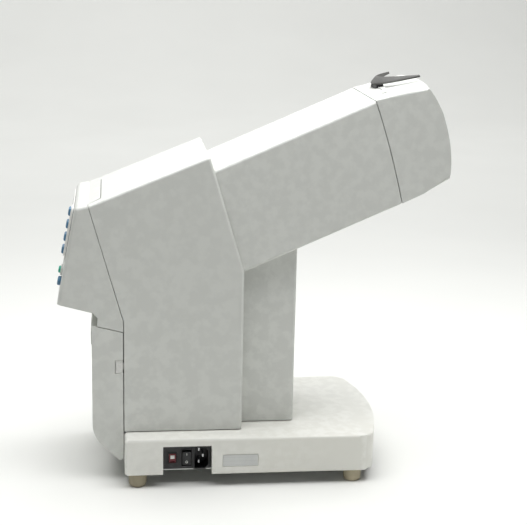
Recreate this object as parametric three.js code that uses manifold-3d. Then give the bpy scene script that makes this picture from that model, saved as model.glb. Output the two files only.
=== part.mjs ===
// Table-top autorefractor: a bowed base on four rubber feet, a printer door and operator panel on the
// left, a leaning housing, and an inclined viewing tube whose head carries a sliding forehead rest.
// Millimetres. x runs from the operator to the patient, y across, z up. The working origin is the foot
// of the base skirt at the operator's end; the finished instrument is moved to stand over its own centre.
import * as THREE from "three";
import { mergeVertices } from "three/addons/utils/BufferGeometryUtils.js";
import Module from "manifold-3d";

const wasm = await Module();
wasm.setup();

// ---------------------------------------------------------------- driving dimensions
const GAP = 0.4; // clearance between neighbouring pieces
const RUNNING = 0.1; // radial clearance of a shaft in its bearing
const WALL = 2.5; // moulded wall thickness
const FOOT_HEIGHT = 14.5; // how far the skirt stands above the table
const MIDDLE_X = 142.15; // middle of the whole instrument, from the operator's end of the base

const BASE = { length: 286, width: 198, height: 40.8, wall: 3, bow: 11.5, corner: 18 };
const BODY_WIDTH = 147;
const TUBE = { width: 134, height: 114.5, edge: 3.5, rise: 161.6, from: 118 };
const SLOPE = Math.atan(0.4377); // the viewing tube climbs at 23.6 degrees
const COLUMN = { x0: 128.9, x1: 188.6, width: 100 };
const HOUSING_X = 128.4; // patient side of the main housing
const HOUSING_FOOT = BASE.height + 1; // a shadow gap runs round the housing's foot
const FACE_EDGE = 4.5; // radius of the operator-side edges

// Side view of the seam between the control head and the housing, and of the top plane above both.
const SEAM_TOP = { x: -36.2, z: 292.3 };
const SEAM_FOOT = { x: 0, z: 166.5 };
const TOP_SLOPE = 0.41;
const topPlane = (x) => SEAM_TOP.z + TOP_SLOPE * (x - SEAM_TOP.x);

// Operator panel: its upper edge on the side wall, its lean, and how far the face stands out from there.
const PANEL = { x: -45.2, z: 290.5, lean: THREE.MathUtils.degToRad(10.75), length: 107, stand: 5 };

// Printer door and its hinge.
const DOOR = { front: -34.3, back: -0.9, foot: 9, topBack: 154.2, topSlope: -0.249, bend: 37, corner: 14 };
const HINGE = { x: -4.6, z: 12.7, rod: 1.6, knuckle: 3.3 };

// ---------------------------------------------------------------- solids
function toSolid(geometry) {
  const plain = geometry.clone();
  plain.deleteAttribute("normal");
  plain.deleteAttribute("uv");
  const merged = mergeVertices(plain, 1e-4);
  return new wasm.Manifold(new wasm.Mesh({
    numProp: 3,
    vertProperties: merged.attributes.position.array,
    triVerts: new Uint32Array(merged.index.array),
  }));
}

function toGeometry(solid) {
  const mesh = solid.getMesh();
  const geometry = new THREE.BufferGeometry();
  geometry.setAttribute("position", new THREE.BufferAttribute(mesh.vertProperties, 3));
  geometry.setIndex(new THREE.BufferAttribute(mesh.triVerts, 1));
  const flat = geometry.toNonIndexed();
  flat.computeVertexNormals();
  return flat;
}

const join = (first, ...others) => others.reduce((sum, next) => sum.add(next), first);
const cut = (first, ...others) => others.reduce((rest, next) => rest.subtract(next), first);

function box([x0, x1], [y0, y1], [z0, z1]) {
  const geometry = new THREE.BoxGeometry(x1 - x0, y1 - y0, z1 - z0);
  geometry.translate((x0 + x1) / 2, (y0 + y1) / 2, (z0 + z1) / 2);
  return toSolid(geometry);
}

// A cylinder along "x", "y" or "z" that starts at the given point.
function rod(axis, radius, [x, y, z], length, sides = 16) {
  const geometry = new THREE.CylinderGeometry(radius, radius, length, sides);
  geometry.translate(0, length / 2, 0);
  if (axis === "x") geometry.rotateZ(-Math.PI / 2);
  if (axis === "z") geometry.rotateX(Math.PI / 2);
  geometry.translate(x, y, z);
  return toSolid(geometry);
}

// A closed outline from corners [a, b, radius]; a corner with a radius is rounded.
function outline(corners) {
  const shape = new THREE.Shape();
  corners.forEach(([a, b, radius = 0], i) => {
    const here = new THREE.Vector2(a, b);
    const before = new THREE.Vector2(...corners.at(i - 1));
    const after = new THREE.Vector2(...corners[(i + 1) % corners.length]);
    const start = here.clone().add(before.sub(here).setLength(radius));
    const end = here.clone().add(after.sub(here).setLength(radius));
    if (i === 0) shape.moveTo(start.x, start.y);
    else shape.lineTo(start.x, start.y);
    if (radius) shape.quadraticCurveTo(a, b, end.x, end.y);
  });
  shape.closePath();
  return shape;
}

// Extrusion settings; an edge radius rounds the rims of both end faces and keeps the overall size.
function extrusion(depth, edge, curveSegments) {
  return {
    depth: depth - 2 * edge,
    curveSegments,
    bevelEnabled: edge > 0,
    bevelSize: edge,
    bevelThickness: edge,
    bevelOffset: -edge,
    bevelSegments: 3,
  };
}

// A side-view shape (x, z) carried across the width, centred on y = 0.
function acrossGeometry(shape, width, edge, segments, steps = 1) {
  const geometry = new THREE.ExtrudeGeometry(shape, { ...extrusion(width, edge, segments), steps });
  return geometry.translate(0, 0, edge - width / 2).rotateX(Math.PI / 2);
}

function across(shape, width, { edge = 0, segments = 6 } = {}) {
  return toSolid(acrossGeometry(shape, width, edge, segments));
}

// A plan shape (x, y) carried up from z0 to z1.
function upward(shape, z0, z1, { edge = 0, segments = 6 } = {}) {
  const geometry = new THREE.ExtrudeGeometry(shape, extrusion(z1 - z0, edge, segments));
  geometry.translate(0, 0, z0 + edge);
  return toSolid(geometry);
}

// An end-view shape (y, z) carried along x from x0 to x1.
function along(shape, x0, x1) {
  const geometry = new THREE.ExtrudeGeometry(shape, extrusion(x1 - x0, 0, 3));
  geometry.rotateX(Math.PI / 2);
  geometry.rotateZ(Math.PI / 2);
  geometry.translate(x0, 0, 0);
  return toSolid(geometry);
}

// A turned solid from a profile of [radius, height] points, axis along z.
function turned(profile, sides = 24) {
  const geometry = new THREE.LatheGeometry(profile.map(([r, h]) => new THREE.Vector2(r, h)), sides);
  geometry.rotateX(Math.PI / 2);
  return toSolid(geometry);
}

function rectangle(width, height, radius, middleHeight = 0) {
  const [w, h] = [width / 2, height / 2];
  return outline([
    [-w, middleHeight - h, radius],
    [w, middleHeight - h, radius],
    [w, middleHeight + h, radius],
    [-w, middleHeight + h, radius],
  ]);
}

// ---------------------------------------------------------------- frames and materials
const instrument = new THREE.Group();
instrument.position.set(-MIDDLE_X, 0, FOOT_HEIGHT);

// Tube frame: x climbs along the viewing tube, z is square to it, z = 0 on the tube's underside.
const tubeFrame = new THREE.Group();
tubeFrame.position.set(0, 0, TUBE.rise);
tubeFrame.rotation.y = -SLOPE;

// Panel frame: x points out of the operator's panel, z runs down it.
const panelFrame = new THREE.Group();
panelFrame.position.set(PANEL.x, 0, PANEL.z);
panelFrame.rotation.y = Math.PI + PANEL.lean;

// Head frame, inside the tube frame: x and y lie in the top of the head, z stands up from it, and the
// origin is the head's front top corner.
const HEAD = {
  top: 395.8, topZ: 106.4, seam: 338, seamZ: 114.9, belly: 401.4, bellyZ: 74, chin: 383.4, chinZ: 4.6,
};
const HEAD_BOW = 5.5; // how much further the head's front reaches at its middle
const HEAD_DROP = (HEAD.seamZ - HEAD.topZ) / (HEAD.top - HEAD.seam);
const headFrame = new THREE.Group();
headFrame.position.set(HEAD.top, 0, HEAD.topZ);
headFrame.rotation.y = Math.atan(HEAD_DROP);

instrument.add(tubeFrame, panelFrame);
tubeFrame.add(headFrame);
for (const frame of [tubeFrame, panelFrame]) frame.updateMatrix();

// Carries a solid from the tube or panel frame into the instrument's own axes, for cutting.
const inInstrument = (solid, frame) => toSolid(toGeometry(solid).applyMatrix4(frame.matrix));

const finish = (color, roughness, metalness = 0) =>
  new THREE.MeshStandardMaterial({ color, roughness, metalness });
const MATERIAL = {
  shell: finish(0xe4e3dc, 0.5),
  fascia: finish(0xf0f0ec, 0.45),
  darkPlastic: finish(0x2c2d30, 0.5),
  rubber: finish(0x3b3c3c, 0.8),
  footRubber: finish(0xb5ab90, 0.75),
  blueKey: finish(0x4a7ea3, 0.45),
  greenKey: finish(0x3fa884, 0.45),
  redPlastic: finish(0x6e2430, 0.4),
  steel: finish(0xb8babd, 0.35, 0.9),
  brass: finish(0xc2a35a, 0.35, 0.9),
  aluminium: finish(0xaeb1b4, 0.4, 0.85),
  blackAluminium: finish(0x1f2022, 0.5, 0.5),
  glass: finish(0xb7cdd2, 0.05),
  board: finish(0x23613c, 0.5),
  paper: finish(0xf3f2ec, 0.85),
  label: finish(0xd9dadb, 0.4),
};

function add(name, solid, material, frame = instrument) {
  const mesh = new THREE.Mesh(toGeometry(solid), material);
  mesh.name = name;
  frame.add(mesh);
  return mesh;
}

// ---------------------------------------------------------------- base
// Plan of the base, inset by a distance: straight operator end, bowed patient end.
function basePlan(inset) {
  const half = BASE.width / 2 - inset;
  const tip = BASE.length - inset;
  const bowHalf = half - BASE.corner;
  const radius = (bowHalf ** 2 + BASE.bow ** 2) / (2 * BASE.bow);
  const angle = Math.asin(bowHalf / radius);
  const shape = new THREE.Shape();
  shape.moveTo(inset, -half);
  shape.lineTo(tip - BASE.bow - BASE.corner, -half);
  shape.quadraticCurveTo(tip - BASE.bow - 2, -half, tip - BASE.bow, -bowHalf);
  shape.absarc(tip - radius, 0, radius, -angle, angle, false);
  shape.quadraticCurveTo(tip - BASE.bow - 2, half, tip - BASE.bow - BASE.corner, half);
  shape.lineTo(inset, half);
  shape.closePath();
  return shape;
}

// The power entry sits in a notch in the side of the skirt, open towards the table.
const ENTRY = { x0: 41.1, x1: 93.8, top: 33, face: -90.5, middleZ: 16.8 };

const HINGE_LUG = { at: 57, half: 2.5, room: 3.2 };

// A round knuckle on the door hinge's axis, and the bore through it.
function knuckle(y) {
  return rod("y", HINGE.knuckle, [HINGE.x, y - HINGE_LUG.half, HINGE.z], 2 * HINGE_LUG.half, 24);
}

function hingeBore(y) {
  return rod("y", HINGE.rod + RUNNING, [HINGE.x, y - 4, HINGE.z], 8);
}

function baseCover() {
  const side = BASE.width / 2;
  const outer = upward(basePlan(0), -8, BASE.height, { edge: 2.5, segments: 10 });
  const hollow = upward(basePlan(BASE.wall), -9, BASE.height - BASE.wall, { segments: 10 });
  const below = box([-5, 300], [-120, 120], [-9, 0]);
  const lining = box([ENTRY.x0 - 2, ENTRY.x1 + 2], [-side + 1, ENTRY.face + 4], [0, ENTRY.top + 2]);
  const notch = box([ENTRY.x0, ENTRY.x1], [-side - 1, ENTRY.face + 5], [-1, ENTRY.top]);
  const wiring = box([30, 112], [-40, 40], [30, 45]);
  const postHole = box([136, 181], [-34, 34], [30, 45]);
  const lugs = [-1, 1].map((s) => {
    const [y, r] = [s * HINGE_LUG.at, HINGE.knuckle];
    const web = box([HINGE.x, 0.5], [y - HINGE_LUG.half, y + HINGE_LUG.half], [HINGE.z - r, HINGE.z + r]);
    return cut(join(web, knuckle(y)), hingeBore(y));
  });
  const shell = cut(outer, hollow, below);
  return cut(join(shell, lining, ...lugs), notch, wiring, postHole, labelPlate(GAP));
}

// The blank rating label, let into the skirt; grown by a margin it is the recess that holds it.
function labelPlate(margin) {
  const side = BASE.width / 2;
  const face = margin ? side + 1 : side - 0.05;
  return box([106 - margin, 144 + margin], [-face, -side + 0.4 + margin], [9 - margin, 22 + margin]);
}

function foot() {
  const pad = [[0, -FOOT_HEIGHT], [6.5, -FOOT_HEIGHT], [8.6, -13.6], [9.6, -11.4], [9.8, -8], [9.8, -GAP]];
  const stem = [[7, -GAP], [7, 0.9], [0, 0.9]];
  return turned([...pad, ...stem], 20);
}

add("base_cover", baseCover(), MATERIAL.shell);

function basePlate() {
  const plate = upward(basePlan(BASE.wall + GAP), 1.2, 2.8, { segments: 8 });
  return cut(plate, box([ENTRY.x0 - 2.5, ENTRY.x1 + 2.5], [-100, ENTRY.face + 4.5], [0, 4]));
}

add("base_plate", basePlate(), MATERIAL.steel);
const FOOT_X = [14, 251];
const FOOT_Y = 87;
let footNumber = 0;
for (const x of FOOT_X) {
  for (const side of [-1, 1]) {
    footNumber += 1;
    add(`foot_${footNumber}`, foot(), MATERIAL.footRubber).position.set(x, side * FOOT_Y, 0);
  }
}

// ---------------------------------------------------------------- power entry
const SOCKET = { x: 83, width: 15, height: 24, floor: 16 };
const ROCKER = { x: 67, width: 9.4, height: 15.8, pivotDepth: 2, tilt: THREE.MathUtils.degToRad(8) };
const FUSE = { x: 51.5, width: 7.6, height: 10, length: 26 };

// The appliance socket's outline: a rectangle with the two corners by the earth pin cut off.
function socketShape(inset) {
  const [w, h] = [SOCKET.width / 2 - inset, SOCKET.height / 2 - inset];
  const chamfer = 4;
  const right = [[w - chamfer, -h], [w, chamfer - h], [w, h - chamfer], [w - chamfer, h]];
  return outline([[-w, -h], ...right, [-w, h]]);
}

function inletModule() {
  const z = ENTRY.middleZ;
  const plate = box([ENTRY.x0 + 0.6, ENTRY.x1 - 0.6], [ENTRY.face, ENTRY.face + 2.5], [z - 12.9, z + 15.5]);
  const body = box([43.5, 91.5], [ENTRY.face + 2, ENTRY.face + 34], [z - 12.9, z + 13.5]);
  const socket = across(socketShape(0), 80).translate([SOCKET.x, ENTRY.face, z]);
  const opening = (centre, width, height) =>
    box(
      [centre - width / 2, centre + width / 2],
      [ENTRY.face - 1, ENTRY.face + 40],
      [z - height / 2, z + height / 2],
    );
  return cut(
    join(plate, body),
    socket,
    opening(ROCKER.x, ROCKER.width + 1, ROCKER.height + 2.6),
    opening(FUSE.x, FUSE.width + 0.8, FUSE.height + 0.8),
  );
}

function inletContacts() {
  const z = ENTRY.middleZ;
  const back = ENTRY.face + SOCKET.floor;
  const carrier = across(socketShape(GAP), 12).translate([SOCKET.x, back + 6, z]);
  const blade = ([x, dz]) => box([x - 1, x + 1], [ENTRY.face + 5.5, back + 1], [z + dz - 2, z + dz + 2]);
  return join(carrier, ...[[SOCKET.x - 2.5, -7], [SOCKET.x - 2.5, 7], [SOCKET.x + 2, 0]].map(blade));
}

// The rocker is drawn upright about its pivot, seen from its end: depth into the module, and height.
function rocker() {
  const h = ROCKER.height / 2;
  const shape = new THREE.Shape();
  shape.moveTo(-3.4, -h);
  shape.lineTo(-3.4, -h + 1.2);
  shape.quadraticCurveTo(-0.6, 0, -3.4, h - 1.2);
  shape.lineTo(-3.4, h);
  shape.lineTo(2, h);
  shape.lineTo(7, 3);
  shape.lineTo(7, -3);
  shape.lineTo(2, -h);
  shape.closePath();
  const solid = across(shape, ROCKER.width);
  return toSolid(toGeometry(solid).rotateZ(Math.PI / 2));
}

function fuseDrawer() {
  const [w, h] = [FUSE.width / 2, FUSE.height / 2];
  const bar = box([-w, w], [-1, FUSE.length], [-h, h]);
  const pocket = box([-w + 1.5, w - 1.5], [4, FUSE.length - 3], [-h + 2, h + 1]);
  return cut(bar, pocket);
}

function powerSupply() {
  const [x0, x1, z] = [192, 266, 12];
  const board = box([x0, x1], [-46, 46], [z, z + 1.6]);
  const post = (x, y) => rod("z", 3, [x, y, 3.1], z - 2.5, 10);
  const posts = [x0 + 5, x1 - 5].flatMap((x) => [post(x, -41), post(x, 41)]);
  const transformer = box([x0 + 8, x0 + 40], [-36, -6], [z + 1, z + 23]);
  const heatSink = box([x0 + 46, x0 + 52], [-40, 20], [z + 1, z + 20]);
  const capacitors = [[x0 + 22, 10], [x0 + 22, 32]].map(([x, y]) => rod("z", 8, [x, y, z + 1], 20, 16));
  return join(board, ...posts, transformer, heatSink, ...capacitors);
}

add("inlet_module", inletModule(), MATERIAL.darkPlastic);
add("inlet_contacts", inletContacts(), MATERIAL.steel);
const rockerMesh = add("power_switch", rocker(), MATERIAL.darkPlastic);
rockerMesh.position.set(ROCKER.x, ENTRY.face + ROCKER.pivotDepth, ENTRY.middleZ);
rockerMesh.rotation.x = ROCKER.tilt;
add("fuse_drawer", fuseDrawer(), MATERIAL.redPlastic).position.set(FUSE.x, ENTRY.face, ENTRY.middleZ);
add("power_supply", powerSupply(), MATERIAL.board);
add("rating_label", labelPlate(0), MATERIAL.label);

// ---------------------------------------------------------------- main housing and rear column
const TIP = { x: 90.5, z: topPlane(90.5) };
const CREASE_END = 219.5; // where the leaning end of the housing starts, level with the tube's underside

// The control head's tongue into the housing's top: it narrows towards its end, and stands a little proud.
const TAB = { reach: 12.7, root: 66, end: 57.5, corner: 6, proud: 0.5, gap: 0.6 };

const TAB_ROOT = SEAM_TOP.x - 4;

function tabPlan(x0, margin) {
  const x1 = SEAM_TOP.x + TAB.reach + margin;
  return outline([
    [x0, -TAB.root - margin],
    [x1, -TAB.end - margin, TAB.corner],
    [x1, TAB.end + margin, TAB.corner],
    [x0, TAB.root + margin],
  ]);
}

const PRINTER_OPENING = { half: 62, z0: 24, z1: 152 };
const CATCH = { x0: -9, x1: -1.4, z0: 109, z1: 123, travel: 2.5 };

// The leg of a door catch on one side, grown all round by a margin and inwards by its travel.
function catchLeg(side, margin, travel) {
  const face = BODY_WIDTH / 2 - 3.1;
  const y = [side * (face - 3.1 - travel), side * (face + margin)].sort((a, b) => a - b);
  return box([CATCH.x0 + 3 - margin, 22 + margin], y, [CATCH.z0 + 3 - margin, CATCH.z1 - 3 + margin]);
}

function housing() {
  const left = [[SEAM_TOP.x, SEAM_TOP.z], [SEAM_FOOT.x, SEAM_FOOT.z], [0, HOUSING_FOOT]];
  const right = [[HOUSING_X, HOUSING_FOOT], [HOUSING_X, CREASE_END], [TIP.x, TIP.z, 4.5]];
  const outer = across(outline([...left, ...right]), BODY_WIDTH, { edge: 2.2 });
  const w = WALL;
  const hollow = across(outline([
    [SEAM_TOP.x - 6, topPlane(SEAM_TOP.x - 6) - w],
    [SEAM_FOOT.x - 6, SEAM_FOOT.z],
    [w, SEAM_FOOT.z - 8],
    [w, HOUSING_FOOT - 5],
    [HOUSING_X - w, HOUSING_FOOT - 5],
    [HOUSING_X - w, CREASE_END],
    [TIP.x - w - 0.5, TIP.z - w - 1],
  ]), BODY_WIDTH - 2 * w);
  const [half, wall] = [TUBE.width / 2 + GAP, TUBE.height + GAP];
  const tubeOpening = inInstrument(box([125, 175], [-half, half], [-GAP, wall]), tubeFrame);
  const tab = upward(tabPlan(TAB_ROOT, TAB.gap), 260, 310);
  const open = PRINTER_OPENING;
  const printerOpening = box([-3, 4], [-open.half, open.half], [open.z0, open.z1]);
  const catchSlots = [-1, 1].map((s) => catchLeg(s, GAP, CATCH.travel + GAP));
  return cut(outer, hollow, tubeOpening, tab, printerOpening, ...catchSlots);
}

function rearColumn() {
  const half = COLUMN.width / 2;
  const plan = (inset) => outline([
    [COLUMN.x0 + inset, -half + inset],
    [COLUMN.x1 - inset, -half + inset, 4],
    [COLUMN.x1 - inset, half - inset, 4],
    [COLUMN.x0 + inset, half - inset],
  ]);
  const walls = cut(upward(plan(0), HOUSING_FOOT, 300), upward(plan(WALL), HOUSING_FOOT - 1, 301));
  const aboveTube = inInstrument(box([100, 260], [-70, 70], [-GAP, 250]), tubeFrame);
  return cut(walls, aboveTube);
}

function supportPost() {
  const [x, y] = [158, 0];
  const outer = box([x - 17, x + 17], [y - 29, y + 29], [3.2, 330]);
  const inner = box([x - 14.5, x + 14.5], [y - 26.5, y + 26.5], [2, 331]);
  const aboveBench = inInstrument(box([60, 300], [-60, 60], [BENCH.z0 - GAP, 250]), tubeFrame);
  return cut(outer, inner, aboveBench);
}

const BENCH = { x0: 46, x1: 316, half: 46, z0: 14, z1: 18 };

add("main_housing", housing(), MATERIAL.shell);
add("rear_column", rearColumn(), MATERIAL.shell);
add("support_post", supportPost(), MATERIAL.aluminium);

// ---------------------------------------------------------------- viewing tube and head
// The seam between tube and head is an arc in side view, in the tube frame.
const SEAM = { foot: 324.6, bulge: 5.2, lean: 13.6, gap: 0.7 };

function seamShape(reach, shift) {
  const x = (z) => SEAM.foot + shift + (SEAM.lean * z) / TUBE.height;
  const top = TUBE.height + 10;
  const shape = new THREE.Shape();
  shape.moveTo(reach, -10);
  shape.lineTo(x(-10), -10);
  shape.quadraticCurveTo(x(TUBE.height / 2) + SEAM.bulge, TUBE.height / 2, x(top), top);
  shape.lineTo(reach, top);
  shape.closePath();
  return shape;
}

function tubeSection(inset) {
  const edge = Math.max(TUBE.edge - inset, 1);
  return rectangle(TUBE.width - 2 * inset, TUBE.height - 2 * inset, edge, TUBE.height / 2);
}

function viewingTube() {
  const shell = cut(along(tubeSection(0), TUBE.from, 345), along(tubeSection(WALL), TUBE.from - 1, 346));
  const beyondSeam = across(seamShape(420, 0), 160);
  const postHole = box([146, 202], [-31, 31], [-2, 6]);
  return cut(shell, beyondSeam, postHole);
}

// Side view of the head: flat-topped, with a front that swells towards the patient.
function headSide(inset) {
  const shape = new THREE.Shape();
  shape.moveTo(300, inset);
  shape.lineTo(352, inset + 1.2);
  shape.lineTo(HEAD.chin - inset, HEAD.chinZ + inset);
  shape.quadraticCurveTo(HEAD.belly - 2.4 - inset, 32, HEAD.belly - inset, HEAD.bellyZ);
  shape.quadraticCurveTo(HEAD.belly - 1 - inset, 95, HEAD.top - inset, HEAD.topZ - inset);
  shape.lineTo(HEAD.seam, HEAD.seamZ - inset);
  shape.lineTo(300, TUBE.height - inset);
  shape.closePath();
  return shape;
}

// The head as a solid block. Its front is bowed in plan: points near the front are carried forward in
// the plane of the head's top, most of all at mid-width.
function headBlock(inset, edge) {
  const rear = 345;
  const geometry = acrossGeometry(headSide(inset), TUBE.width - 2 * inset, edge, 8, 8);
  const points = geometry.attributes.position;
  for (let i = 0; i < points.count; i += 1) {
    const share = THREE.MathUtils.clamp((points.getX(i) - rear) / (HEAD.chin - rear), 0, 1);
    const across01 = Math.abs(points.getY(i)) / (TUBE.width / 2);
    const reach = share * HEAD_BOW * (1 - across01 ** 2);
    points.setX(i, points.getX(i) + reach);
    points.setZ(i, points.getZ(i) - reach * HEAD_DROP);
  }
  return toSolid(geometry);
}

const PORT = { z: 52, width: 92, height: 44, depth: 16, glassWidth: 78, glassHeight: 32 };

// The viewing port is a rounded opening that narrows towards its window.
const portTunnel = (width, height, x0, x1) => along(rectangle(width, height, 8, PORT.z), x0, x1);

function headCap() {
  const behindSeam = across(seamShape(280, SEAM.gap), 160);
  const port = portTunnel(PORT.width, PORT.height, 360, 420);
  return cut(headBlock(0, 3), headBlock(WALL, 0), behindSeam, port);
}

function portBezel() {
  const rear = HEAD.belly - PORT.depth;
  const body = portTunnel(PORT.width - 2 * GAP, PORT.height - 2 * GAP, rear, 420);
  const hole = portTunnel(PORT.glassWidth - 6, PORT.glassHeight - 6, rear - 1, 421);
  const seat = portTunnel(PORT.glassWidth, PORT.glassHeight, rear + 2, 421);
  return cut(body.intersect(headBlock(0.8, 0)), hole, seat);
}

function portWindow() {
  const rear = HEAD.belly - PORT.depth + 2 + GAP;
  return portTunnel(PORT.glassWidth - 2 * GAP, PORT.glassHeight - 2 * GAP, rear, rear + 2);
}

add("viewing_tube", viewingTube(), MATERIAL.shell, tubeFrame);
add("head_cap", headCap(), MATERIAL.shell, tubeFrame);
add("port_bezel", portBezel(), MATERIAL.darkPlastic, tubeFrame);
add("port_window", portWindow(), MATERIAL.glass, tubeFrame);

// ---------------------------------------------------------------- sliding forehead rest
// The rest is a rubber horseshoe on a shoe that slides along a curved rail, so it can sit before either
// eye. The rail's centre lies behind the head's front edge.
const REST = { centre: -129, swing: THREE.MathUtils.degToRad(11.8), half: 43, horn: 128, tip: 3 };
const CRESCENT = { back: 89, inner: 98.5, low: 4.2, rim: 2, middle: 11.4, end: 6, stations: 24 };
const RAIL = { radius: 94, width: 5, height: 1.2, reach: THREE.MathUtils.degToRad(20) };
const SHOE = { half: 4.2, reach: THREE.MathUtils.degToRad(5), low: 0.4, high: 3.9 };

function arcBand(inner, outer, reach) {
  const shape = new THREE.Shape();
  shape.absarc(REST.centre, 0, outer, -reach, reach, false);
  shape.absarc(REST.centre, 0, inner, reach, -reach, true);
  shape.closePath();
  return shape;
}

// A point on a plan curve that runs from horn to horn and is nearest the centre at mid-width.
function hornCurve(middle, half, share) {
  const from = new THREE.Vector2(REST.horn, -half);
  const handle = new THREE.Vector2(2 * middle - REST.horn, 0);
  const to = new THREE.Vector2(REST.horn, half);
  return new THREE.QuadraticBezierCurve(from, handle, to).getPoint(share);
}

// One section of the horseshoe: a thin wall at the back, rising to a ridge along the inner edge.
function restSection(share) {
  const outer = hornCurve(CRESCENT.back, REST.half, share);
  const inner = hornCurve(CRESCENT.inner, REST.half - REST.tip, share);
  const rise = 1 - (inner.y / REST.half) ** 2;
  const ridge = CRESCENT.end + (CRESCENT.middle - CRESCENT.end) * rise;
  const { low, rim } = CRESCENT;
  const profile = [[0, low], [1, low], [1, ridge - 1], [0.88, ridge], [0, low + rim]];
  return profile.map(([across01, z]) => {
    const place = outer.clone().lerp(inner, across01);
    return new THREE.Vector3(REST.centre + place.x, place.y, z);
  });
}

function foreheadRest() {
  const { stations } = CRESCENT;
  const sections = Array.from({ length: stations + 1 }, (_, i) => restSection(i / stations));
  const size = sections[0].length;
  const index = [];
  for (let i = 0; i < stations; i += 1) {
    for (let j = 0; j < size; j += 1) {
      const [near, next] = [i * size + j, i * size + ((j + 1) % size)];
      index.push(near, near + size, next, next, near + size, next + size);
    }
  }
  for (let j = 1; j < size - 1; j += 1) {
    const last = stations * size;
    index.push(0, j, j + 1, last, last + j + 1, last + j);
  }
  const geometry = new THREE.BufferGeometry().setFromPoints(sections.flat());
  return toSolid(geometry.setIndex(index));
}

function restShoe() {
  const block = arcBand(RAIL.radius - SHOE.half, RAIL.radius + SHOE.half, SHOE.reach);
  const half = RAIL.width / 2 + GAP / 2;
  const path = arcBand(RAIL.radius - half, RAIL.radius + half, 0.5);
  const groove = upward(path, -1, RAIL.height + GAP, { segments: 16 });
  return cut(upward(block, SHOE.low, SHOE.high, { segments: 12 }), groove);
}

function restRail() {
  const half = RAIL.width / 2;
  const path = arcBand(RAIL.radius - half, RAIL.radius + half, RAIL.reach);
  return upward(path, 0.3, RAIL.height, { segments: 16 });
}

// Turns a rest piece about the rail's centre, from the middle of the head to the eye it serves.
function turnedToEye(solid) {
  const geometry = toGeometry(solid).translate(-REST.centre, 0, 0);
  return toSolid(geometry.rotateZ(REST.swing).translate(REST.centre, 0, 0));
}

add("rest_rail", restRail(), MATERIAL.shell, headFrame);
add("rest_shoe", turnedToEye(restShoe()), MATERIAL.darkPlastic, headFrame);
add("forehead_rest", turnedToEye(foreheadRest()), MATERIAL.rubber, headFrame);

// ---------------------------------------------------------------- control head and operator panel
const faceX = (out, down) => PANEL.x - out * Math.cos(PANEL.lean) - down * Math.sin(PANEL.lean);
const faceZ = (out, down) => PANEL.z + out * Math.sin(PANEL.lean) - down * Math.cos(PANEL.lean);
const facePoint = (out, down) => [faceX(out, down), faceZ(out, down)];
const doorTop = (x) => DOOR.topBack + DOOR.topSlope * (x - DOOR.back);

const FASCIA = {
  y0: -55, y1: 56, z0: 4.5, z1: 65, low: PANEL.stand + 0.3, high: PANEL.stand + 1.3, corner: 6,
};
const DISPLAY = { y0: -25, y1: 48, z0: 11, z1: 58 };
const KEY = { y: -41, first: 11.8, pitch: 13.9, count: 4, width: 14, height: 8, top: 10.3, collar: 7.9 };
const START_KEY = { y: -41, z: 76.4, radius: 3.9, top: 9.8, collar: 7.4 };
const ROUND_KEY = { y: -41, z: 89, radius: 5, top: 8.8 };
const KEY_FOOT = -0.5; // inner end of the keys, above the switch board
const KEY_CLEAR = 0.4;

// A plate in the panel frame: y and z bounds, from one distance off the panel to another.
function panelPlate([y0, y1], [z0, z1], x0, x1, corner) {
  const shape = outline([[y0, z0, corner], [y1, z0, corner], [y1, z1, corner], [y0, z1, corner]]);
  return along(shape, x0, x1);
}

function controlHead() {
  const g = GAP;
  const seamGap = (x) => x - 1.5 * g;
  const underside = (x) => doorTop(x) + 2 * g;
  const outer = across(outline([
    [...facePoint(PANEL.stand, 1.5), 4],
    [seamGap(SEAM_TOP.x), SEAM_TOP.z + 0.6],
    [seamGap(SEAM_FOOT.x), SEAM_FOOT.z],
    [seamGap(SEAM_FOOT.x), underside(seamGap(SEAM_FOOT.x))],
    [-28.4, underside(-28.4)],
    [-27.8, 171, 2.5],
    [-32, 176.2],
    [...facePoint(PANEL.stand, PANEL.length), 1.5],
  ].reverse()), BODY_WIDTH, { edge: 1.2 });
  const frontPlan = outline([
    [-90, -BODY_WIDTH / 2],
    [PANEL.stand, -BODY_WIDTH / 2, FACE_EDGE],
    [PANEL.stand, BODY_WIDTH / 2, FACE_EDGE],
    [-90, BODY_WIDTH / 2],
  ]);
  const front = inInstrument(upward(frontPlan, -40, 150), panelFrame);
  const hollow = across(outline([
    facePoint(PANEL.stand - WALL, 5),
    [SEAM_TOP.x + 8, topPlane(SEAM_TOP.x + 8) - WALL],
    [SEAM_FOOT.x + 8, SEAM_FOOT.z],
    [SEAM_FOOT.x + 8, underside(SEAM_FOOT.x) + WALL],
    [-26, underside(-26) + WALL],
    [-25.2, 172],
    [-30.5, 178.6],
    facePoint(PANEL.stand - WALL, PANEL.length - WALL),
  ].reverse()), BODY_WIDTH - 2 * WALL);
  const opening = panelPlate([FASCIA.y0 + 3, FASCIA.y1 - 3], [FASCIA.z0 + 2, FASCIA.z1 - 3], 0, 9, 3);
  const keyHoles = [START_KEY, ROUND_KEY].map((key) =>
    rod("x", key.radius + KEY_CLEAR, [0, key.y, key.z], 9));
  const collarHeight = START_KEY.collar - PANEL.stand;
  const collarFoot = [PANEL.stand - 1, START_KEY.y, START_KEY.z];
  const collar = rod("x", START_KEY.radius + 2, collarFoot, collarHeight + 1);
  const shell = join(cut(outer.intersect(front), hollow), inInstrument(collar, panelFrame), tongue());
  return cut(shell, ...[opening, ...keyHoles].map((tool) => inInstrument(tool, panelFrame)));
}

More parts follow.
